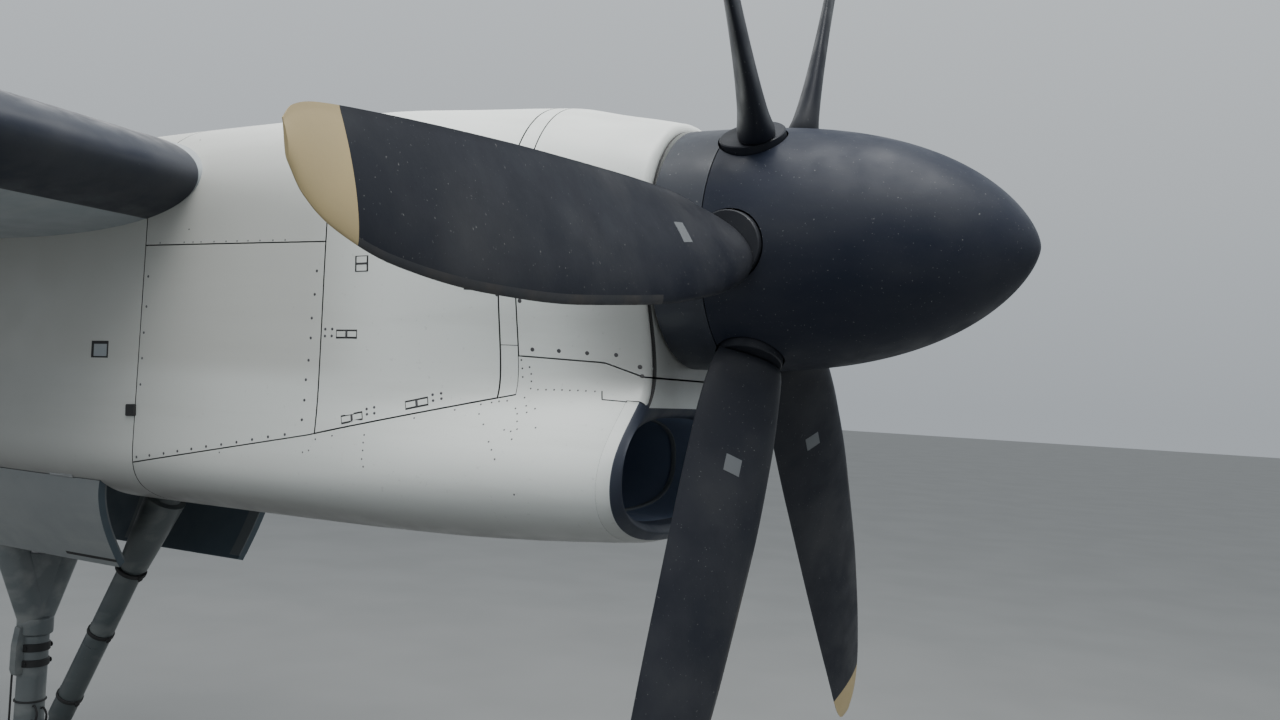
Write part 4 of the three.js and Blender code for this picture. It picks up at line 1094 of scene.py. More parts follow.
def addWing():
    w, gap = wing, wing["gap"]
    blocks = [wingBlock(-w["flapEnd"], w["flapEnd"], None, None)]
    for edge, end in ((w["flapEnd"], w["outboard"]), (-w["flapEnd"], w["inboard"])):
        blocks.append(wingBlock(edge, end, None, w["flapX"] + gap))
    addSolid("wingSection", blocks, 0.0015, "nacelle", "wing", "wing_section")
    for name, side in sides.items():
        end = w["outboard"] if side > 0 else w["inboard"]
        stations = np.linspace(side * w["bootEnd"], end, w["bootColumns"])
        grids = []
        for y in stations:
            reach = spotAt(y, leadingX(y) - w["boot"])
            spots = np.linspace(reach, -reach, w["bootRows"])
            grids.append((wingPoints(y, spots, w["bootProud"]), wingNormals(y, spots)))
        points, normals = np.array([g[0] for g in grids]), np.array([g[1] for g in grids])
        makePanel(f"boot_{name}", [(points, normals)], "nacelle", f"boot_{name}", "boot",
                  w["bootSkin"], False)
        flap = wingBlock(side * (w["flapEnd"] + gap), end, w["flapX"] - gap, None)
        addSolid(f"flap_{name}", [flap], 0.002, "nacelle", "wing", f"flap_{name}")
        addWingRib(name, side, end)
    print("wing ready")


def addWingRib(name, side, end):
    # the section's cut end is closed by a rib with upright stiffeners
    w = wing
    outline = wingPoints(end, np.linspace(w["ribShare"], -w["ribShare"], w["ribPoints"]))[:, ::2]
    middle = outline.mean(axis=0)
    proud = side * w["ribProud"]
    parts = [slab(middle + (outline - middle) * w["ribShare"], *sorted((end - proud, end + proud)))]
    for x in np.linspace(*w["stiffeners"]):
        spot, a, b = spotAt(end, x), x - w["stiffenerHalf"], x + w["stiffenerHalf"]
        low, high = wingPoints(end, [-spot])[0, 2] + w["ribEdge"], wingPoints(end, [spot])[0, 2] - w["ribEdge"]
        parts.append(slab([(a, low), (b, low), (b, high), (a, high)],
                          *sorted((end, end + side * w["stiffenerProud"]))))
    addSolid(f"wingRib_{name}", parts, 0.0015, "nacelle", "bay")


# Rear nacelle and wheel bay
bay = {
    "front": -2.270, "rear": -5.950, "split": -3.785, "roof": -0.100, "wall": 0.040, "door": 0.030,
    "hingeY": {"front": 0.445, "rear": 0.360}, "open": {"inboard": 50, "outboard": 71},
    "freeEdge": 0.036, "slantTo": -2.385, "humpEnd": -3.420, "humpEdge": 0.250, "frames": 8, "doorGap": 0.006,
    "doorFrame": 0.065, "frameDepth": 0.007, "hingeEdge": {"front": 0.001, "rear": 0.009}, "cutBack": 0.029,
    "barrel": 0.070, "barrelRadius": 0.007, "leafRadius": 0.0045, "spots": (0.1, 0.7), "doorColumns": 28,
    "frameHalf": 0.012, "frameInset": (0.012, 0.045), "framePoints": 60, "frameFoot": 0.01,
    "wallInset": 0.014, "wallPoints": 120, "sheet": 0.008,
    "stringers": (-0.28, -0.14, 0, 0.14, 0.28), "stringerHalf": 0.008, "stringerDeep": 0.03,
    # the strut's lugs: how far out they begin and end, the heights of their root
    "lug": (0.0703, 0.110), "lugRoot": (-0.850, -0.975),
    # the strip beside a rear door: shares of the hinge line, distances from it, heights under it
    "strip": (0.08, 0.88), "stripY": (0.008, 0.048), "stripZ": (-0.005, -0.002),
    "arm": [(0.003, 0.003), (0.050, 0.003), (0.050, 0.011), (0.003, 0.011)],
    # a dark strip near a front door's lower edge is painted shadow of the gap there: how far it stands out, its
    # thickness, how many rows from the front it covers
    "shadowLineProud": 0.0007, "shadowLineThick": 0.003, "shadowLineRows": 10,
}


def hingeArc(x):
    pair = "front" if x > bay["split"] else "rear"
    edge = bay["hingeY"][pair] + bay["hingeEdge"][pair]
    if pair == "rear":
        # the skin sags below the straight hinge line, so its edge lies further out there
        share = np.clip((x - bay["split"]) / (bay["rear"] - bay["split"]), 0, 1)
        edge += bay["cutBack"] * sin(pi * share) ** 0.6
    return arcAtWidth(x, edge, belly=True)


def addRearNacelle():
    s, b, gap = seams, bay, seams["gap"]
    edge = lambda x: arcAtHeight(x, b["humpEdge"])
    humpArc = lambda x: edge(x) if x > b["humpEnd"] else 0.0
    fairing = overCrown(s["panelRear"] - gap, b["humpEnd"], edge)
    makePanel("overwingFairing", [fairing], "nacelle", "overwing_fairing")
    grids = bothSides(s["panelRear"] - gap, b["front"], humpArc, lambda x: 1.0, 90)
    grids += bothSides(b["front"], b["humpEnd"], humpArc, hingeArc, 80)
    grids += bothSides(b["humpEnd"], b["split"] + 0.001, lambda x: 0.0, hingeArc, 90)
    grids += bothSides(b["split"] - 0.001, b["rear"], lambda x: 0.0, hingeArc, 90)
    grids += bothSides(b["rear"], s["tail"] + gap, lambda x: 0.0, lambda x: 1.0, 90)
    makePanel("nacelleRear", grids, "nacelle", "nacelle_rear")
    tail = bothSides(s["tail"] - gap, s["end"], lambda x: 0.0, lambda x: 1.0, 70)
    cap = skinAt(s["end"], np.linspace(-1, 1, 121)[:-1])[:, 1:]
    makePanel("tailFairing", tail, "nacelle", "tail_fairing")
    addSolid("tailCap", [slab(cap * 0.995, s["end"], s["end"] + 0.004, "X")], 0.001, "nacelle",
             "cowling")
    addBay()
    addGearDoors()
    print("rear nacelle ready")


def insideOutline(x, inset, low):
    # [y, z] points of a frame inside the skin, from the outboard foot over the roof to the inboard foot
    arcs = np.linspace(low, arcAtHeight(x, bay["roof"]), bay["framePoints"])
    side = underSkin(x, arcs, inset)
    return np.concatenate([side, side[::-1] * (-1, 1)])


def addBay():
    b = bay
    parts, walls = [], []
    for x in np.linspace(b["front"] - 0.02, b["rear"] + 0.02, b["frames"] + 2):
        foot, half = hingeArc(x) - b["frameFoot"], b["frameHalf"]
        outer, inner = [insideOutline(x, inset, foot) for inset in b["frameInset"]]
        ring = np.array([[(x + dx, *p) for p in line] for dx, line in
                         ((half, outer), (half, inner), (-half, inner), (-half, outer))])
        verts = ring.reshape(-1, 3)
        n = len(outer)
        faces = [[r * n + j, r * n + j + 1, ((r + 1) % 4) * n + j + 1, ((r + 1) % 4) * n + j]
                 for r in range(4) for j in range(n - 1)]
        faces += [[0, n, 2 * n, 3 * n], [4 * n - 1, 3 * n - 1, 2 * n - 1, n - 1]]
        parts.append((verts, faces))
    for front, back in ((b["front"] + 0.02, b["front"] + 0.002), (b["rear"] - 0.002, b["rear"] - 0.02)):
        roofArc = arcAtHeight(front, b["roof"])
        arcs = np.linspace(roofArc, 2 - roofArc, b["wallPoints"])
        walls.append(slab(underSkin(front, arcs, b["wallInset"]), back, front, "X"))
    high, low = b["roof"], b["roof"] - b["stringerDeep"]
    for y in b["stringers"]:
        parts.append(slab([(b["front"], low), (b["rear"], low), (b["rear"], high), (b["front"], high)],
                          y - b["stringerHalf"], y + b["stringerHalf"]))
    xs = steps(b["front"], b["rear"], 0.2)
    edge = [skinAt(x, arcAtHeight(x, high))[1] - b["wallInset"] for x in xs]
    outline = [(x, y) for x, y in zip(xs, edge)] + [(x, -y) for x, y in zip(xs[::-1], edge[::-1])]
    walls.append(slab(outline, high, high + b["sheet"], "Z"))
    # lugs that carry the drag strut's upper pin
    (x, z), root, (high, low) = strut["top"], b["front"] + 0.005, b["lugRoot"]
    lug = [(root, high), (x - 0.060, z + 0.045), (x - 0.060, z - 0.050), (root, low)]
    addSolid("strutLugs", onBothSides(lug, *b["lug"]), 0.003, "nacelle", "gear")
    addSolid("bayFrames", parts, 0.0015, "nacelle", "bay")
    addSolid("bayWalls", walls, 0.001, "nacelle", "bay")


def hingeParts(ends, side, spots, lift, turn=None):
    # barrels on the hinge line and the leaves beside them
    start, along = ends[0], unit(ends[1] - ends[0])
    offset = np.array([0, side * bay["barrelRadius"], lift])
    if turn is not None:
        offset = turn @ offset
    offset = offset - along * np.dot(offset, along)
    parts = []
    for spot in spots:
        a = start + (ends[1] - start) * spot
        b = a + along * bay["barrel"]
        parts += [rod(bay["barrelRadius"], a, b, 20), rod(bay["leafRadius"], a + offset, b + offset, 12)]
    return parts


def doorGrid(front, rear, side, pair):
    # points from the front edge to the rear edge; the front pair's front edge runs back to its free edge
    columns = bay["doorColumns"]
    hingeY, free = bay["hingeY"][pair], bay["freeEdge"] if pair == "front" else 0.0035
    across = np.linspace(hingeY - bay["hingeEdge"][pair], free, columns)
    back = (hingeY - across) / (hingeY - free) * (front - bay["slantTo"] if pair == "front" else 0.0)
    places = np.concatenate([[0.0, bay["doorFrame"] / (front - rear)], steps(0.045, 1, 0.025)])
    points, normals = np.zeros((len(places), columns, 3)), np.zeros((len(places), columns, 3))
    for i, place in enumerate(places):
        for j, (y, shift) in enumerate(zip(across, back)):
            x = (front - shift) * (1 - place) + rear * place
            arc = side * arcAtWidth(x, y, belly=True)
            points[i, j], normals[i, j] = skinAt(x, arc), skinNormals(x, arc)
    return points, normals


def addGearDoors():
    spans = {"front": (bay["front"] - bay["doorGap"], bay["split"] + bay["doorGap"]),
             "rear": (bay["split"] - bay["doorGap"], bay["rear"] + bay["doorGap"])}
    for pair, (front, rear) in spans.items():
        for name, side in sides.items():
            node = f"gear_door_{pair}_{name}"
            body = "nacelle" if pair == "front" else node
            points, normals = doorGrid(front, rear, side, pair)
            angle = side * radians(bay["open"][name]) if pair == "front" else 0.0
            pivot = skinAt(front, side * arcAtWidth(front, bay["hingeY"][pair], belly=True))
            c, s = cos(angle), sin(angle)
            turn = np.array([[1, 0, 0], [0, c, -s], [0, s, c]])
            points = (points - pivot) @ turn.T + pivot
            normals = normals @ turn.T
            door = makePanel(f"gearDoor_{pair}_{name}", [(points, normals)], body, node, "door",
                             thickness=bay["door"], shadedSeams=False)
            door.data.materials.append(finishes["lining"])
            setFinishes(door, np.arange(len(door.data.polygons)) >= quadCount(points))
            addDoorFrame(f"doorFrame_{pair}_{name}", points, normals, body)
            ends = [skinAt(x, side * arcAtWidth(x, bay["hingeY"][pair], belly=True)) for x in (front, rear)]
            shift = (bay["barrel"] + 0.001) / np.linalg.norm(ends[1] - ends[0])
            fixed = hingeParts(ends, side, bay["spots"], bay["barrelRadius"])
            moving = hingeParts(ends, -side, [spot + shift for spot in bay["spots"]], 0.0, turn)
            if pair == "rear":
                addSolid(f"bayHingeDoor_{name}", moving, 0.0006, body, "steel")
                moving = []
                addHingeCover(name, side, ends, fixed)
            addSolid(f"bayHinge_{pair}_{name}", fixed + moving, 0.0006, "nacelle", "steel")
            if pair == "front":
                # painted shadow: a dark strip along the door's lower edge, over its front rows, for the shaded gap
                # there
                place = (slice(bay["shadowLineRows"]), slice(-4, -2))
                strip = shell(points[place] + normals[place] * bay["shadowLineProud"], normals[place], bay["shadowLineThick"])
                finishPiece(makeMesh(f"doorShadowLine_{name}", *strip), "nacelle", "seal")


def addHingeCover(name, side, ends, fixed):
    # a rubber strip above the gap beside a rear door, and arms from the fixed barrels to the skin
    onLine = lambda share: ends[0] + (ends[1] - ends[0]) * share
    (x0, _, z0), (x1, _, z1) = [onLine(share) for share in bay["strip"]]
    hingeY, (low, high) = bay["hingeY"]["rear"], bay["stripZ"]
    strip = slab([(x0, z0 + low), (x1, z1 + low), (x1, z1 + high), (x0, z0 + high)],
                 *sorted(side * (hingeY + y) for y in bay["stripY"]))
    addSolid(f"bayHingeSeal_{name}", [strip], 0, "nacelle", "seal")
    for spot in bay["spots"]:
        start = onLine(spot)
        outline = [(side * (hingeY + y), start[2] + z) for y, z in bay["arm"]]
        fixed.append(slab(outline, start[0] - bay["barrel"], start[0], "X"))


def addDoorFrame(name, points, normals, body):
    # stiffeners along the front, the rear and the middle of a door, on its inner face
    inner = points - normals * (bay["door"] - 0.001)
    last = len(points) - 1
    shells = []
    for first, stop in ((0, 1), (last // 2, last // 2 + 2), (last - 2, last)):
        shells.append(shell(inner[first:stop + 1, 1:-1], -normals[first:stop + 1, 1:-1], -bay["frameDepth"]))
    finishPiece(makeMesh(name, *joinShells(shells)), body, "frame")


# Small fittings on the skin
fittings = {
    # x and height on the inboard side; each one is repeated outboard
    "quarterTurns": [(-0.393, -0.354), (-0.305, -0.355), (-0.214, -0.358), (-0.123, -0.360), (-0.053, -0.393),
                     (-0.046, -0.420), (-0.427, -0.205)],
    "screws": [
        (-1.185, -0.119), (-1.189, -0.198), (-1.197, -0.278), (-1.197, -0.345), (-1.201, -0.420), (-1.208, -0.486),
        (-1.209, -0.555), (-1.213, -0.621), (-2.011, -0.805), (-1.941, -0.794), (-1.866, -0.781), (-1.795, -0.768),
        (-1.724, -0.755), (-1.651, -0.741), (-1.577, -0.729), (-1.504, -0.716), (-1.431, -0.702), (-1.358, -0.688),
        (-1.283, -0.675), (-2.009, -0.136), (-2.008, -0.248), (-2.013, -0.345), (-2.013, -0.440), (-2.013, -0.537),
    ],
    "rivets": [
        (-1.336, -0.012), (-1.392, -0.012), (-1.453, -0.012), (-1.510, -0.012), (-1.563, -0.012), (-1.617, -0.012),
        (-1.677, -0.012), (-1.743, -0.012), (-1.784, -0.012), (-1.830, -0.012), (-1.957, -0.012), (-0.948, -0.655),
        (-0.947, -0.680), (-0.944, -0.705), (-0.944, -0.733), (-0.935, -0.757), (-1.584, -0.757), (-1.197, -0.729),
        (-1.171, -0.721), (-1.146, -0.682), (-1.077, -0.666), (-1.809, 0.035), (-1.916, 0.395), (-1.872, 0.327),
        (-0.431, -0.388), (-0.428, -0.414), (-0.426, -0.441), (-0.404, -0.409), (-0.398, -0.430), (-0.396, -0.453),
        (-0.395, -0.476), (-0.550, -0.534), (-0.515, -0.526), (-0.491, -0.521), (-0.464, -0.518), (-0.408, -0.505),
        (-0.426, -0.540), (-0.393, -0.530), (-0.359, -0.537), (-0.413, -0.556), (-0.382, -0.550), (-0.402, -0.579),
        (-0.391, -0.602), (-0.329, -0.594), (-0.435, -0.607), (-0.410, -0.610), (-0.396, -0.633), (-0.516, -0.595),
        (-0.475, -0.646), (-0.456, -0.669), (-0.436, -0.696), (-0.635, -0.556), (-0.773, -0.590), (-0.545, -0.564),
        (-0.355, -0.796), (-0.370, -0.478), (-0.343, -0.477), (-0.316, -0.476), (-0.290, -0.475), (-0.264, -0.475),
        (-0.238, -0.474), (-0.212, -0.474), (-0.183, -0.474),
    ],
    "doorScrews": [(-1.136, -0.314), (-1.107, -0.313), (-1.136, -0.337), (-1.108, -0.336), (-0.955, -0.571),
                   (-0.928, -0.564), (-0.951, -0.588), (-0.924, -0.583), (-0.724, -0.512), (-0.695, -0.506),
                   (-0.719, -0.531), (-0.691, -0.523), (-0.506, -0.188)],
    "radius": {"quarterTurns": 0.0075, "screws": 0.0056, "rivets": 0.0034, "doorScrews": 0.0052},
    # both ends of a latch, its width
    "latches": [((-1.089, -0.329), (-1.009, -0.327), 0.024), ((-1.047, -0.612), (-0.968, -0.593), 0.024),
                ((-0.815, -0.552), (-0.737, -0.533), 0.024), ((-0.620, -0.159), (-0.537, -0.159), 0.024),
                ((-1.002, -0.069), (-1.000, -0.120), 0.045)],
    "vent": ((-2.300, -0.414), (-2.204, -0.412), 0.064), "scoop": ((-2.077, -0.635), (-2.027, -0.632), 0.044),
    "bracket": [((-0.161, -0.472), (-0.152, -0.498), 0.0035), ((-0.152, -0.498), (-0.071, -0.501), 0.0035)],
    "crownFin": [(-2.125, -0.010), (-2.142, 0.026), (-2.188, 0.026), (-2.206, -0.010)], "finHalf": 0.009,
    # how far heads, latches and their parts stand out of the skin, and how far all of them reach into it
    "proud": 0.0007, "framePad": 0.0005, "platePad": 0.0014, "barPad": 0.0024, "ventShadePad": 0.0004,
    "bracketPad": 0.0010, "lidPad": 0.0012, "scoopPad": 0.009, "headRoot": 0.004, "padRoot": -0.003,
    # shares of a latch's length taken by its two plates and the bar between them, and of the vent by its lid
    "plateShares": ((0, 0.47), (0.53, 1)), "barShare": (0.465, 0.535), "lidShare": (0.16, 0.92), "lidWidth": 0.72,
}


def skinSpot(x, z, side):
    arc = side * arcAtHeight(x, z)
    return skinAt(x, arc), skinNormals(x, arc)


def headAt(x, z, side, radius):
    place, out = skinSpot(x, z, side)
    return lathe([(0, radius), (0.8, radius), (1, radius * 0.7)], place - out * fittings["headRoot"],
                 place + out * fittings["proud"], 14)


def padBetween(start, end, width, side, proud, inset=0.0, share=(0, 1)):
    # a flat block along a line on the skin, over a share of its length
    (a, _), (b, _) = skinSpot(*start, side), skinSpot(*end, side)
    out = skinSpot((start[0] + end[0]) / 2, (start[1] + end[1]) / 2, side)[1]
    along = unit(b - a)
    up = unit(np.cross(out, along))
    first, last = a + (b - a) * share[0] + along * inset, a + (b - a) * share[1] - along * inset
    corners = [place + up * v * (width / 2 - inset) + out * lift for lift in (fittings["padRoot"], proud)
               for place, v in ((first, -1), (last, -1), (last, 1), (first, 1))]
    return np.array(corners), [[0, 1, 2, 3], [7, 6, 5, 4], [0, 4, 5, 1], [1, 5, 6, 2], [2, 6, 7, 3], [3, 7, 4, 0]]


def addFittings():
    f = fittings
    for name, side in sides.items():
        heads = lambda *kinds: [headAt(*spot, side, f["radius"][kind]) for kind in kinds for spot in f[kind]]
        door = f"cowl_door_{name}"
        addSolid(f"skinFasteners_{name}", heads("quarterTurns", "screws", "rivets"), 0, "nacelle",
                 "fastener")
        addSolid(f"doorFasteners_{name}", heads("doorScrews"), 0, door, "fastener")
        frames, plates, bars = [], [], []
        for start, end, width in f["latches"]:
            frames.append(padBetween(start, end, width + 0.004, side, f["framePad"], -0.001))
            plates += [padBetween(start, end, width - 0.002, side, f["platePad"], 0.002, share)
                       for share in f["plateShares"]]
            bars.append(padBetween(start, end, width, side, f["barPad"], 0.0, f["barShare"]))
        addSolid(f"latchFrames_{name}", frames, 0, door, "seal")
        addSolid(f"latchPlates_{name}", plates, 0.0004, door, "cowling")
        addSolid(f"latchBars_{name}", bars, 0.0004, door, "fastener")
        # the vent's hollow is drawn as a flat dark pad, painted shade inside it, together with the small brackets;
        # the grey lid over most of it sits lower and toward the front, so the painted shade shows along its top and
        # its rear end
        start, end, width = f["vent"]
        ventShadeParts = [padBetween(start, end, width, side, f["ventShadePad"])]
        ventShadeParts += [padBetween(*bar, side, f["bracketPad"]) for bar in f["bracket"]]
        addSolid(f"ventShadeAndBrackets_{name}", ventShadeParts, 0, "nacelle", "seal")
        start, end = (start[0], start[1] - 0.003), (end[0], end[1] - 0.003)
        lid = padBetween(start, end, width * f["lidWidth"], side, f["lidPad"], 0, f["lidShare"])
        addSolid(f"ventLid_{name}", [lid], 0.0004, "nacelle", "wing")
        # the drain scoop is drawn dark all over, as painted shade of its opening
        addSolid(f"drainScoop_{name}", [padBetween(*f["scoop"], side, f["scoopPad"])], 0.004, "nacelle",
                 "seal", segments=3)
    outline = [(x, hermite(nacelle["crown"], x)[0] + z) for x, z in f["crownFin"]]
    fin = slab(outline, -f["finHalf"], f["finHalf"])
    addSolid("crownFin", [fin], 0.004, "nacelle", "seal", segments=3)
    print("fittings ready")


addWing()
addFittings()


# Exhaust
exhaust = {"from": (-2.140, 0.390, -0.330), "to": (-2.860, 0.650, -0.350), "outer": (0.168, 0.150),
           "bore": (0.152, 0.138), "skinY": 0.500, "points": 96, "shares": (0.3, 0.6, 0.9, 0.985), "rim": 0.003}


def addExhaust():
    start, end = np.array(exhaust["from"]), np.array(exhaust["to"])
    along = unit(end - start)
    across = unit(np.cross(along, (0, 0, 1)))
    wheel = lambda turn: np.cos(turn)[:, None] * across + np.sin(turn)[:, None] * np.cross(along, across)
    turn = fullTurn(exhaust["points"])

    def toSkin(radius, y):
        ring = start + wheel(turn) * radius
        return ring + along * ((y - ring[:, 1]) / along[1])[:, None]

    rings = [toSkin(exhaust["outer"][0], exhaust["skinY"] - 0.004)]
    low = toSkin(exhaust["outer"][0], exhaust["skinY"])
    for share in exhaust["shares"]:
        ring = start + (end - start) * share + wheel(turn) * np.interp(share, [0, 1], exhaust["outer"])
        late = np.sum((ring - low) * along, axis=1) > 0
        rings.append(np.where(late[:, None], ring, low + along * 0.001 * share))
    for radius, share in ((exhaust["outer"][1] - exhaust["rim"], 1.0), (exhaust["bore"][1] + exhaust["rim"], 1.0),
                          (exhaust["bore"][1], exhaust["shares"][-1])):
        rings.append(start + (end - start) * share + wheel(turn) * radius)
    rings.append(toSkin(exhaust["bore"][1], exhaust["skinY"] + 0.006))
    addSolid("exhaustPipe", [loftRings(rings)], 0, "nacelle", "heat", "exhaust_pipe", angle=50)


# Landing gear leg
gear = {
    "x": -3.250, "crossZ": -0.350, "crossRadius": 0.060, "armY": 0.330, "armRadius": 0.075,
    "kneeY": 0.130, "kneeZ": -1.330, "kneeRadius": 0.070, "footY": 0.012, "footRadius": 0.060,
    "collarTop": -1.640, "collarBottom": -1.720, "collarRadius": 0.076, "webTop": -1.348,
    "cylinderRadius": 0.062, "cylinderBottom": -2.330, "pistonRadius": 0.046, "braceZ": -0.800,
    "braceRadius": 0.035, "axleZ": -2.660, "axleRadius": 0.040, "axleEnd": 0.342, "wheelY": 0.215,
    # outline of a small plate beside the cylinder: metres inboard of its axis, height
    "plate": [(0.055, -1.665), (0.085, -1.680), (0.098, -1.760), (0.098, -1.870), (0.088, -1.895), (0.055, -1.890)],
    "blockHalf": 0.075, "bands": [(-1.775, 0.018), (-1.846, 0.016), (-2.020, 0.004), (-2.290, 0.018)],
    "plateHalf": 0.020, "webHalf": 0.055, "webHollow": 0.030, "crossCollar": 0.072, "ear": (0.024, 0.040),
    # ears that carry the torque links: metres behind the leg's axis, height from the axle on the lower one
    "upperEar": [(0, -2.230), (-0.150, -2.270), (-0.170, -2.298), (-0.150, -2.325), (0, -2.328)],
    "lowerEar": [(0, 0.070), (-0.150, 0.075), (-0.172, 0.045), (-0.150, 0.015), (0, -0.020)],
    "bandBolt": [(0, 0.008), (0.7, 0.008), (0.72, 0.012), (1, 0.012)],
    "boltAhead": 0.030, "boltSpan": (0.050, 0.066),
    "axleNut": [(0, 0.056), (0.15, 0.058), (0.85, 0.058), (1, 0.052)], "nutSpan": (0.321, 0.338),
}
strut = {
    "top": (-2.390, -0.939), "bottom": (-3.110, -2.190), "jointAt": 0.877, "headStart": 0.095,
    "headEnd": 0.462, "headRadii": (0.084, 0.061), "neckRadius": 0.060, "tubeRadius": 0.052,
    "clampRadius": 0.066, "collarRadius": 0.0575, "lug": (0.0515, 0.080), "lugRadius": 0.048,
    # radius and half length of the eyes and pins at its ends
    "topEye": (0.050, 0.069), "topPin": (0.022, 0.118), "bottomEye": (0.042, 0.050), "bottomPin": (0.024, 0.088),
    # a clamp's ear: shares and radii, how far in and out of the band; its bolt's radius, half length, place
    "ear": [(0, 0.011), (0.8, 0.011), (1, 0.008)], "earSpan": (-0.006, 0.010), "earBolt": (0.0045, 0.014, 0.009),
}
link = {
    # torque links: where they meet behind the leg's axis, height; root's distance behind it; eye and pin
    "apex": (-0.330, -2.455), "rootX": -0.158, "upperZ": -2.298, "lowerUp": 0.048, "eye": 0.030, "pin": 0.012,
    "rootHalf": 0.042, "tipHalf": 0.036,
    # distance from the middle, height and width of an arm at its root, middle and tip
    "arm": [(0.034, 0.030, 0.009), (0.023, 0.022, 0.008), (0.012, 0.018, 0.010)],
}
ram = {
    # the ram's rod and body run in the plane y = 0
    "rod": ((-0.01, -0.005), (-3.60, -0.48)), "rodRadius": 0.024, "eye": (0.046, 0.030),
    "body": ((-3.56, -0.50), (-3.94, -0.175)), "foot": (0.020, 0.035),
    "rows": [(0, 0.040), (0.012, 0.046), (0.05, 0.046), (0.054, 0.042), (0.44, 0.042), (0.444, 0.046),
             (0.49, 0.046), (0.50, 0.040)],
    "footOutline": [(-3.900, -0.16), (-3.925, -0.22), (-3.960, -0.22), (-3.995, -0.16)],
}


def addLeg():
    g, x = gear, gear["x"]
    reach = hermite(nacelle["rows"], x)[0] - bay["wall"]
    thin, thick, span = g["crossRadius"], g["crossCollar"], 2 * reach
    rows = [(0, thick), (0.02, thick), (0.024, thin), (span - 0.024, thin), (span - 0.02, thick), (span, thick)]
    yoke = [steppedRod(rows, (x, -reach, g["crossZ"]), (x, reach, g["crossZ"]))]
    for side in (-1, 1):
        top, knee, foot = (np.array([x, side * g[y], z]) for y, z in (
            ("armY", g["crossZ"]), ("kneeY", g["kneeZ"]), ("footY", g["collarTop"] - 0.02)))
        yoke.append(lathe([(0, g["armRadius"]), (1, g["kneeRadius"])], top, knee))
        yoke.append(lathe([(-0.05, g["kneeRadius"]), (1, g["footRadius"])], knee, foot))
        yoke.append(lathe([(0, g["armRadius"] + 0.010), (0.030, g["armRadius"] + 0.010)],
                          top + (knee - top) * 0.06, knee + (knee - top) * 0.06))
    share = (g["crossZ"] - g["braceZ"]) / (g["crossZ"] - g["kneeZ"])
    braceY = g["armY"] - (g["armY"] - g["kneeY"]) * share
    yoke.append(pinAcross(g["braceRadius"], braceY, x, g["braceZ"]))
    collar = g["collarRadius"]
    yoke.append(steppedRod([(0, collar - 0.006), (0.006, collar), (0.074, collar), (0.080, collar - 0.006)],
                           (x, 0, g["collarTop"]), (x, 0, g["collarBottom"])))
    # the web between the arms has a hollow top edge
    height = (g["webTop"] - g["collarTop"]) / (g["kneeZ"] - g["collarTop"])
    edge, foot = g["footY"] + (g["kneeY"] - g["footY"]) * height, g["footY"] + 0.03
    outline = [(edge * v, g["webTop"] + g["webHollow"] * v * v) for v in np.linspace(-1, 1, 25)]
    outline += [(foot, g["collarTop"]), (-foot, g["collarTop"])]
    yoke.append(slab(outline, x - g["webHalf"], x + g["webHalf"], "X"))
    addSolid("gearYoke", yoke, 0.004, "nacelle", "gear", "gear_yoke", segments=3)

    c, top = g["cylinderRadius"], g["collarBottom"]
    length = top - g["cylinderBottom"]
    parts = [steppedRod([(0, c - 0.004), (0.004, c), (length - 0.004, c), (length, c - 0.004)],
                        (x, 0, top), (x, 0, g["cylinderBottom"]), 80)]
    (bx, bz), radius = strut["bottom"], strut["lugRadius"]
    lug = [(x, bz + 0.075), (bx - 0.01, bz + 0.052)]
    lug += [(bx + radius * cos(t), bz + radius * sin(t)) for t in np.linspace(1.9, -1.9, 15)]
    lug += [(bx - 0.01, bz - 0.052), (x, bz - 0.075)]
    parts += onBothSides(lug, *strut["lug"])
    parts.append(pinAcross(*strut["bottomPin"], bx, bz, 32))
    parts += onBothSides([(x + dx, z) for dx, z in g["upperEar"]], *g["ear"])
    parts.append(slab([(-y, z) for y, z in g["plate"]], x - g["plateHalf"], x + g["plateHalf"], "X"))
    bands, boltX, (near, far) = [], x + g["boltAhead"], g["boltSpan"]
    for z, half in g["bands"]:
        bands.append(bandRing(np.array([x, 0, z]), np.array([0, 0, -1.0]), c - 0.002, c + 0.007, half))
        bands += [lathe(g["bandBolt"], (boltX, side * near, z), (boltX, side * far, z), 12)
                  for side in (-1, 1) if half > 0.01]
    addSolid("legBands", bands, 0.001, "nacelle", "seal")
    addSolid("strutCylinder", parts, 0.0025, "nacelle", "gear", "strut_cylinder")
    addPiston()
    addTorqueLinks()
    addDragStrut()
    addRam()
    addLines()
    print("leg ready")


def bandRing(place, along, inner, outer, half):
    profile = [(-half, inner), (-half, outer - 0.002), (0.002 - half, outer), (half - 0.002, outer),
               (half, outer - 0.002), (half, inner), (-half, inner)]
    return lathe(profile, place, place + along, 64, shares=False)


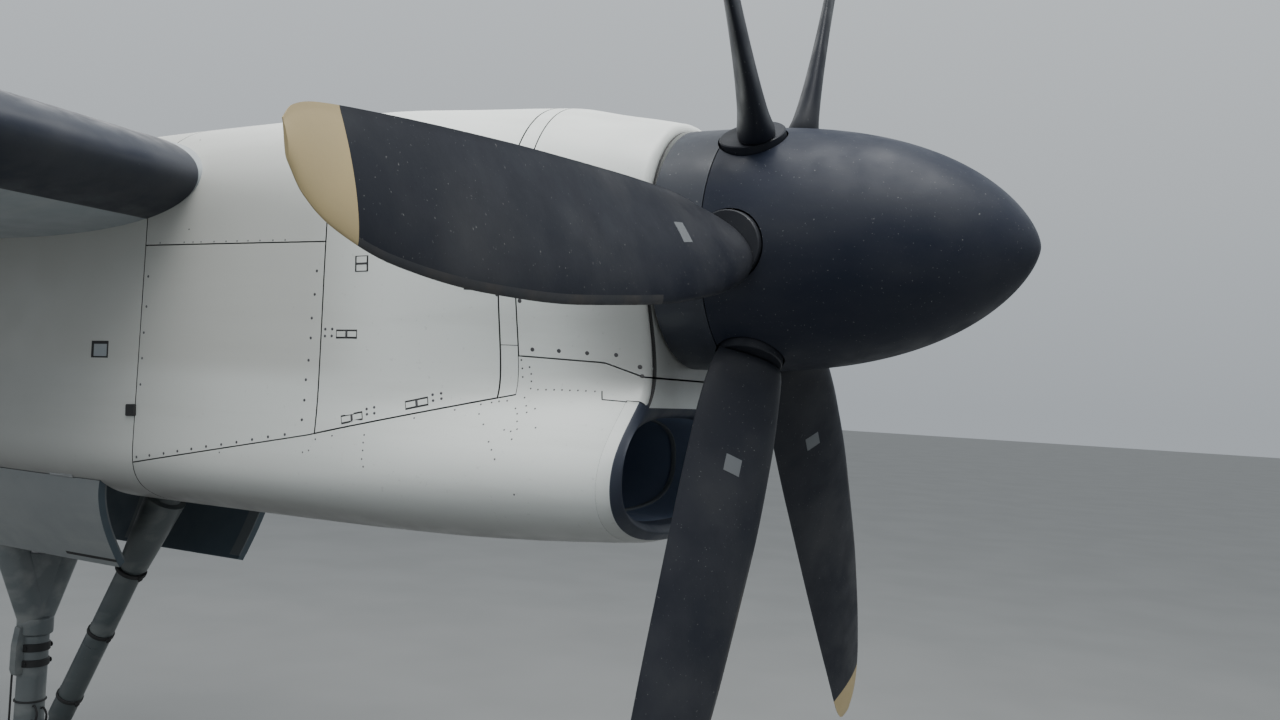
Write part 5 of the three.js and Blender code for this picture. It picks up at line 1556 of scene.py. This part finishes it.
def addPiston():
    g, x, z = gear, gear["x"], gear["axleZ"]
    p, a, end = g["pistonRadius"], g["axleRadius"], g["axleEnd"]
    parts = [steppedRod([(0, p), (0.24, p), (0.244, 0.062), (0.262, 0.066)],
                        (x, 0, g["cylinderBottom"]), (x, 0, z), 80)]
    block = [(x + 0.080 * cos(t) + 0.006 * cos(t) * abs(sin(2 * t)), z + 0.002 + 0.078 * sin(t))
             for t in fullTurn(48)]
    parts.append(slab(block, -g["blockHalf"], g["blockHalf"]))
    parts += onBothSides([(x + dx, z + up) for dx, up in g["lowerEar"]], *g["ear"])
    parts.append(steppedRod([(0, 0.020), (0.003, 0.024), (0.003, 0.0385), (0.006, a), (2 * end - 0.006, a),
                             (2 * end - 0.003, 0.0385), (2 * end - 0.003, 0.024), (2 * end, 0.020)],
                            (x, -end, z), (x, end, z)))
    near, far = g["nutSpan"]
    parts += [lathe(g["axleNut"], (x, side * near, z), (x, side * far, z), 6) for side in (-1, 1)]
    addSolid("strutPiston", parts, 0.002, "nacelle", "chrome", "strut_piston")


def addTorqueLinks():
    x = gear["x"]
    (apexX, apexZ), roots = link["apex"], {"upper": link["upperZ"], "lower": gear["axleZ"] + link["lowerUp"]}
    for name, way in (("upper", 1), ("lower", -1)):
        root, tip = np.array([x + link["rootX"], roots[name]]), np.array([x + apexX + 0.004, apexZ + way * 0.037])
        along, parts = unit(tip - root), []
        for side in (-1, 1):
            # each link is a fork that closes to one eye at its end
            rings = []
            for place, (y, tall, wide) in zip((root, (root + tip) / 2, tip), link["arm"]):
                up = np.array([-along[1], along[0]]) * tall
                rings.append(np.array([(place[0] + up[0] * a, side * y + wide * b, place[1] + up[1] * a)
                                       for a, b in ((1, 1), (1, -1), (-1, -1), (-1, 1))]))
            parts.append(loftRings(rings))
        parts += [pinAcross(link["eye"], link["rootHalf"], *root, 40),
                  pinAcross(link["eye"], link["tipHalf"], *tip, 40),
                  pinAcross(link["pin"], link["rootHalf"], *root, 24)]
        addSolid(f"torqueLink_{name}", parts, 0.002, "nacelle", "gear", f"torque_link_{name}")


def addDragStrut():
    top, bottom = (np.array([x, 0, z]) for x, z in (strut["top"], strut["bottom"]))
    along = unit(bottom - top)
    toMiddle = strut["jointAt"]
    middle = top + along * toMiddle
    toBottom = np.linalg.norm(bottom - middle)
    t, c = strut["tubeRadius"], strut["collarRadius"]
    wide, narrow = strut["headRadii"]
    end = strut["headEnd"]
    rows = [(0.035, strut["neckRadius"]), (strut["headStart"], strut["neckRadius"]),
            (strut["headStart"] + 0.006, wide), (0.200, wide - 0.006), (end - 0.008, narrow), (end, narrow - 0.006)]
    rows += [(end + 0.002, t), (toMiddle - 0.002, t), (toMiddle, t - 0.002)]
    upper = [steppedRod(rows, top, middle, 80), pinAcross(*strut["topEye"], *strut["top"]),
             pinAcross(*strut["topPin"], *strut["top"], 32)]
    addSolid("dragStrut_upper", upper, 0.0025, "nacelle", "strut", "drag_strut_upper")
    rows = [(0, t - 0.002), (0.002, t), (toBottom - 0.160, t), (toBottom - 0.145, 0.045),
            (toBottom - 0.130, 0.038), (toBottom, 0.038)]
    lower = [steppedRod(rows, middle, bottom, 80), pinAcross(*strut["bottomEye"], *strut["bottom"])]
    addSolid("dragStrut_lower", lower, 0.0025, "nacelle", "strut", "drag_strut_lower")
    clamps = []
    for place, radius, half in ((top + along * (end + 0.016), strut["clampRadius"], 0.009),
                                (top + along * (toMiddle - 0.060), c, 0.009), (bottom - along * 0.270, c, 0.009)):
        clamps.append(bandRing(place, along, t - 0.002, radius, half))
        clamps += clampEars(place, along, radius)
    addSolid("strutClamps", clamps, 0.001, "nacelle", "seal")


def clampEars(place, along, radius):
    # two small bolted ears, ahead of and behind the tube
    ears, (thick, half, shift) = [], strut["earBolt"]
    for way in (-1, 1):
        out = np.cross(along, (0, 1, 0)) * way
        root, tip = (place + out * (radius + reach) for reach in strut["earSpan"])
        ears.append(lathe(strut["ear"], root, tip, 10))
        ears.append(rod(thick, root - along * half + out * shift, root + along * half + out * shift, 10))
    return ears


def addRam():
    x, z = gear["x"], gear["braceZ"]
    (dx, dz), rodEnd = ram["rod"]
    inPlane = lambda place: np.array([place[0], 0, place[1]])
    parts = [pinAcross(*ram["eye"], x, z), rod(ram["rodRadius"], (x + dx, 0, z + dz), inPlane(rodEnd), 40),
             steppedRod(ram["rows"], *map(inPlane, ram["body"]))]
    foot = ram["footOutline"]
    foot = [(foot[0][0], bay["roof"])] + foot + [(foot[-1][0], bay["roof"])]
    parts += onBothSides(foot, *ram["foot"])
    addSolid("retractionRam", parts, 0.0025, "nacelle", "gear", "retraction_ram")


# Rigid pipes and electric lines clamped to the leg
# radius of a pipe and its route: ahead of the leg's axis, across, height
brakePipe = (0.0045, [(-0.052, 0.052, -1.72), (-0.056, 0.058, -1.90), (-0.056, 0.058, -2.10),
                      (-0.058, 0.060, -2.28), (-0.062, 0.066, -2.36), (-0.060, 0.072, -2.52),
                      (-0.040, 0.090, -2.60)])
lines = {
    "sensorPipe": (0.0035, [(-0.070, 0.000, -1.90), (-0.070, 0.000, -2.05), (-0.070, 0.000, -2.24)]),
    "pipeLoop_upper": (0.0050, [(0.050, -0.020, -2.040), (0.075, -0.026, -2.036), (0.098, -0.030, -2.060),
                                (0.092, -0.032, -2.096), (0.070, -0.030, -2.108), (0.050, -0.024, -2.100)]),
    "pipeLoop_lower": (0.0045, [(0.050, 0.014, -2.060), (0.074, 0.018, -2.052), (0.094, 0.020, -2.080),
                                (0.086, 0.020, -2.118), (0.064, 0.018, -2.124), (0.050, 0.014, -2.116)]),
}
tube = {"sides": 14, "stepsBetween": 10}


def tubeAlong(route, radius):
    # a round tube that bends smoothly through the points of its route
    route = np.asarray(route, float)
    dense = np.linspace(0, len(route) - 1, (len(route) - 1) * tube["stepsBetween"] + 1)
    padded = np.vstack([2 * route[0] - route[1], route, 2 * route[-1] - route[-2]])
    points = []
    for value in dense:
        k = min(int(value), len(route) - 2)
        u = value - k
        a, b, c, d = padded[k:k + 4]
        points.append(0.5 * (2 * b + (c - a) * u + (2 * a - 5 * b + 4 * c - d) * u**2
                             + (3 * b - a - 3 * c + d) * u**3))
    points = np.array(points)
    ahead = unit(np.gradient(points, axis=0))
    across = unit(np.cross(ahead[0], (0.3, 1, 0.2)))
    rings = []
    turn = fullTurn(tube["sides"])
    for point, way in zip(points, ahead):
        across = unit(across - way * np.dot(across, way))
        other = np.cross(way, across)
        rings.append(point + radius * (np.cos(turn)[:, None] * across + np.sin(turn)[:, None] * other))
    return loftRings(rings)


def addLines():
    pipes = {f"brakePipe_{name}": (brakePipe[0], np.array(brakePipe[1]) * (1, side, 1))
             for name, side in sides.items()}
    for name, (radius, route) in {**pipes, **lines}.items():
        parts = [tubeAlong([(gear["x"] + x, y, z) for x, y, z in route], radius)]
        addSolid(name, parts, 0, "nacelle", "seal")


# Wheels
wheels = {
    # distance along the axle from the wheel's middle, radius
    "rim": [(-0.124, 0.188), (-0.124, 0.219), (-0.121, 0.222), (-0.114, 0.222), (-0.108, 0.204), (0.108, 0.204),
            (0.114, 0.222), (0.121, 0.222), (0.124, 0.219), (0.124, 0.194), (0.118, 0.188), (0.060, 0.184),
            (0.034, 0.178), (0.028, 0.150), (0.030, 0.100), (0.036, 0.082), (0.060, 0.070), (0.096, 0.066),
            (0.100, 0.062), (0.100, 0.0407), (-0.035, 0.0407), (-0.035, 0.065), (-0.015, 0.072), (-0.012, 0.178),
            (-0.020, 0.183)],
    "tyre": [(-0.106, 0.204), (-0.108, 0.222), (-0.118, 0.240), (-0.124, 0.270), (-0.126, 0.296), (-0.122, 0.325),
             (-0.113, 0.350), (-0.098, 0.370), (-0.080, 0.383), (-0.062, 0.389)],
    "grooves": (-0.048, -0.016, 0.016, 0.048), "grooveHalf": 0.0035, "grooveDepth": 0.008, "crown": 0.391,
    "brake": [(-0.1390, 0.050), (-0.1390, 0.150), (-0.134, 0.166), (-0.118, 0.168), (-0.114, 0.160),
              (-0.108, 0.160), (-0.104, 0.168), (-0.092, 0.168), (-0.088, 0.160), (-0.082, 0.160),
              (-0.078, 0.168), (-0.050, 0.168), (-0.046, 0.160), (-0.046, 0.0412), (-0.130, 0.0412)],
    "bolts": 10, "boltCircle": 0.125, "boltOut": 0.026, "boltLong": 0.018,
    "bolt": [(0, 0.010), (0.6, 0.010), (0.62, 0.006), (1, 0.006)],
    # the brake's pistons, on its face toward the leg
    "pistons": 6, "pistonCircle": 0.115, "pistonOut": -0.1395, "pistonLong": 0.012, "pistonRadius": 0.020,
}


def axleRing(profile, side, corners=120):
    x, z, y = gear["x"], gear["axleZ"], side * gear["wheelY"]
    return lathe(profile + profile[:1], (x, y, z), (x, y + side, z), corners)


def roundAxle(count, shift, circle, y):
    # places on a circle round the axle, the first one turned by a share of a step
    x, z, step = gear["x"], gear["axleZ"], 2 * pi / count
    return [np.array([x + circle * cos(step * (k + shift)), y, z + circle * sin(step * (k + shift))])
            for k in range(count)]


def addWheels():
    half = []
    for y in wheels["grooves"]:
        g, d = wheels["grooveHalf"], wheels["grooveDepth"]
        half += [(y - g - 0.001, wheels["crown"]), (y - g, wheels["crown"] - 0.001),
                 (y - g + 0.001, wheels["crown"] - d), (y + g - 0.001, wheels["crown"] - d),
                 (y + g, wheels["crown"] - 0.001), (y + g + 0.001, wheels["crown"])]
    tyre = wheels["tyre"] + half + [(-y, r) for y, r in wheels["tyre"][::-1]]
    for name, side in sides.items():
        parts = [axleRing(wheels["rim"], side)]
        out = gear["wheelY"] + wheels["boltOut"]
        for place in roundAxle(wheels["bolts"], 0, wheels["boltCircle"], side * out):
            parts.append(lathe(wheels["bolt"], place, place + (0, side * wheels["boltLong"], 0), 6))
        addSolid(f"wheel_{name}", parts, 0.0015, "wheels", "steel", f"wheel_{name}")
        addSolid(f"tyre_{name}", [axleRing(tyre, side, 160)], 0, "wheels", "tyre", f"tyre_{name}",
                 angle=50)
        brake = [axleRing(wheels["brake"], side, 96)]
        out = gear["wheelY"] + wheels["pistonOut"]
        for place in roundAxle(wheels["pistons"], 0.5, wheels["pistonCircle"], side * out):
            brake.append(rod(wheels["pistonRadius"], place, place + (0, side * wheels["pistonLong"], 0), 32))
        addSolid(f"brake_{name}", brake, 0.0015, "nacelle", "heat", f"brake_{name}")
    print("wheels ready")


# Engine behind the cowl doors
engine = {
    # x, radius: reduction gearbox round the propeller's axis, and power section below it
    "gearbox": [(-0.125, 0.082), (-0.125, 0.110), (-0.140, 0.160), (-0.205, 0.212), (-0.240, 0.220),
                (-0.244, 0.236), (-0.262, 0.236), (-0.266, 0.220), (-0.400, 0.226), (-0.404, 0.238),
                (-0.424, 0.238), (-0.428, 0.215), (-0.560, 0.170), (-0.600, 0.150), (-0.600, 0.082),
                (-0.125, 0.082)],
    "power": [(-0.560, 0.090), (-0.580, 0.168), (-0.720, 0.174), (-0.724, 0.184), (-0.744, 0.184),
              (-0.748, 0.170), (-0.950, 0.172), (-0.954, 0.184), (-0.974, 0.184), (-0.978, 0.166),
              (-1.250, 0.152), (-1.254, 0.166), (-1.274, 0.164), (-1.278, 0.158), (-1.550, 0.170),
              (-1.554, 0.183), (-1.574, 0.183), (-1.578, 0.160), (-2.000, 0.150), (-2.030, 0.140)],
    "powerZ": -0.166,
    # x, height of the middle and radius of the bolt circles on the flanges; a bolt's radius and half length
    "bolts": [(-0.414, 0, 0.229), (-0.734, -0.166, 0.1785), (-0.964, -0.166, 0.1785)], "boltsRound": 28,
    "bolt": (0.0065, 0.014),
    # shares of an accessory's length and radius
    "casing": [(0, 0.55), (0.05, 0.60), (0.08, 1), (0.55, 1), (0.56, 1.08), (0.62, 1.08), (0.63, 0.92),
               (0.95, 0.92), (1, 0.7)],
    # start, end and radius of the generator, starter, pumps, filter and coolers
    "accessories": [((-0.300, 0.105, 0.225), (-0.560, 0.105, 0.225), 0.062),
                    ((-0.280, -0.120, 0.215), (-0.500, -0.120, 0.215), 0.052),
                    ((-0.430, -0.165, -0.200), (-0.640, -0.165, -0.200), 0.050),
                    ((-0.440, 0.150, -0.235), (-0.610, 0.150, -0.235), 0.060),
                    ((-0.580, 0.000, 0.075), (-0.960, 0.000, 0.075), 0.088),
                    ((-0.640, 0.135, -0.015), (-0.900, 0.135, -0.015), 0.062),
                    ((-0.660, -0.140, -0.020), (-1.020, -0.140, -0.020), 0.055)],
    "struts": [((-0.415, 0.205, 0.110), (-1.160, 0.330, 0.250)), ((-0.415, 0.215, -0.090), (-1.160, 0.330, 0.100)),
               ((-0.734, 0.165, -0.200), (-1.160, 0.350, -0.420))], "strutRadius": 0.016,
    "pipes": [(0.011, [(-0.45, 0.205, -0.02), (-0.62, 0.200, -0.06), (-0.85, 0.205, -0.07), (-1.15, 0.200, -0.06),
                       (-1.60, 0.205, -0.08), (-1.95, 0.190, -0.10)]),
              (0.008, [(-0.50, 0.150, -0.30), (-0.70, 0.190, -0.26), (-0.95, 0.205, -0.24), (-1.30, 0.200, -0.26),
                       (-1.90, 0.190, -0.25)]),
              (0.014, [(-0.56, 0.060, 0.19), (-0.64, 0.060, 0.10), (-0.66, 0.070, 0.02), (-0.68, 0.080, -0.02)])],
    # x of the two walls, how far each lies inside the skin, how far it reaches below the doors' lower edge
    "firewall": (-1.165, 0.015, 0.04), "frontFrame": (-0.470, 0.014, 0.02), "frameInside": 0.055,
    "firewallThick": 0.004, "frameHalf": 0.003,
}


def addEngine():
    e = engine
    castings = [steppedRod([(-x, r) for x, r in e["gearbox"]], (0, 0, 0), (-1, 0, 0), 96)]
    hot = [steppedRod([(-x, r) for x, r in e["power"]], (0, 0, e["powerZ"]), (-1, 0, e["powerZ"]), 96)]
    bolts = []
    thick, half = e["bolt"]
    for x, z, radius in e["bolts"]:
        for turn in fullTurn(e["boltsRound"]):
            y, up = radius * sin(turn), z + radius * cos(turn)
            bolts.append(rod(thick, (x + half, y, up), (x - half, y, up), 6))
    for start, end, radius in e["accessories"]:
        castings.append(lathe([(share, radius * wide) for share, wide in e["casing"]], start, end, 48))
    addSolid("engineCastings", castings, 0.0015, "nacelle", "engine", "engine_block")
    addSolid("enginePowerSection", hot, 0.0015, "nacelle", "heat")
    addSolid("engineBolts", bolts, 0, "nacelle", "fastener")
    pipes = []
    for side in (-1, 1):
        flip = np.array([1, side, 1])
        pipes += [rod(e["strutRadius"], start * flip, end * flip, 24) for start, end in np.array(e["struts"])]
        pipes += [tubeAlong(np.array(route) * flip, radius) for radius, route in e["pipes"]]
    addSolid("enginePipes", pipes, 0, "nacelle", "steel")
    x, inside, below = e["firewall"]
    arcs = np.linspace(0, arcAtHeight(x, diagonal(x) - below), 90)
    half = underSkin(x, arcs, inside)
    half[0, 0] = 0
    walls = [slab(np.concatenate([half, half[:0:-1] * (-1, 1)]), x - e["firewallThick"], x, "X")]
    x, inside, below = e["frontFrame"]
    arcs = np.linspace(0, arcAtHeight(x, diagonal(x) - below), 90)
    outline = np.concatenate([underSkin(x, arcs, inside), underSkin(x, arcs[::-1], e["frameInside"])])
    walls += [slab(outline * (side, 1), x - e["frameHalf"], x + e["frameHalf"], "X") for side in (-1, 1)]
    addSolid("engineFirewall", walls, 0.001, "nacelle", "frame")
    print("engine ready")


addRearNacelle()
addExhaust()
addEngine()
addLeg()
addWheels()


# Floor
def addFloor():
    bpy.ops.mesh.primitive_plane_add(size=view["floorSize"], location=(0, 0, view["floor"] + rimPlace[2]))
    floor = bpy.context.object
    floor.name = "floor"
    material, tree, shader = newMaterial("floorPaper", paints["floor"], 0.8)
    tintBy(tree, shader, [(paints["floorPatch"], addNoise(tree, 0.8, 2))])
    floor.data.materials.append(material)


addFloor()
print("scene ready")
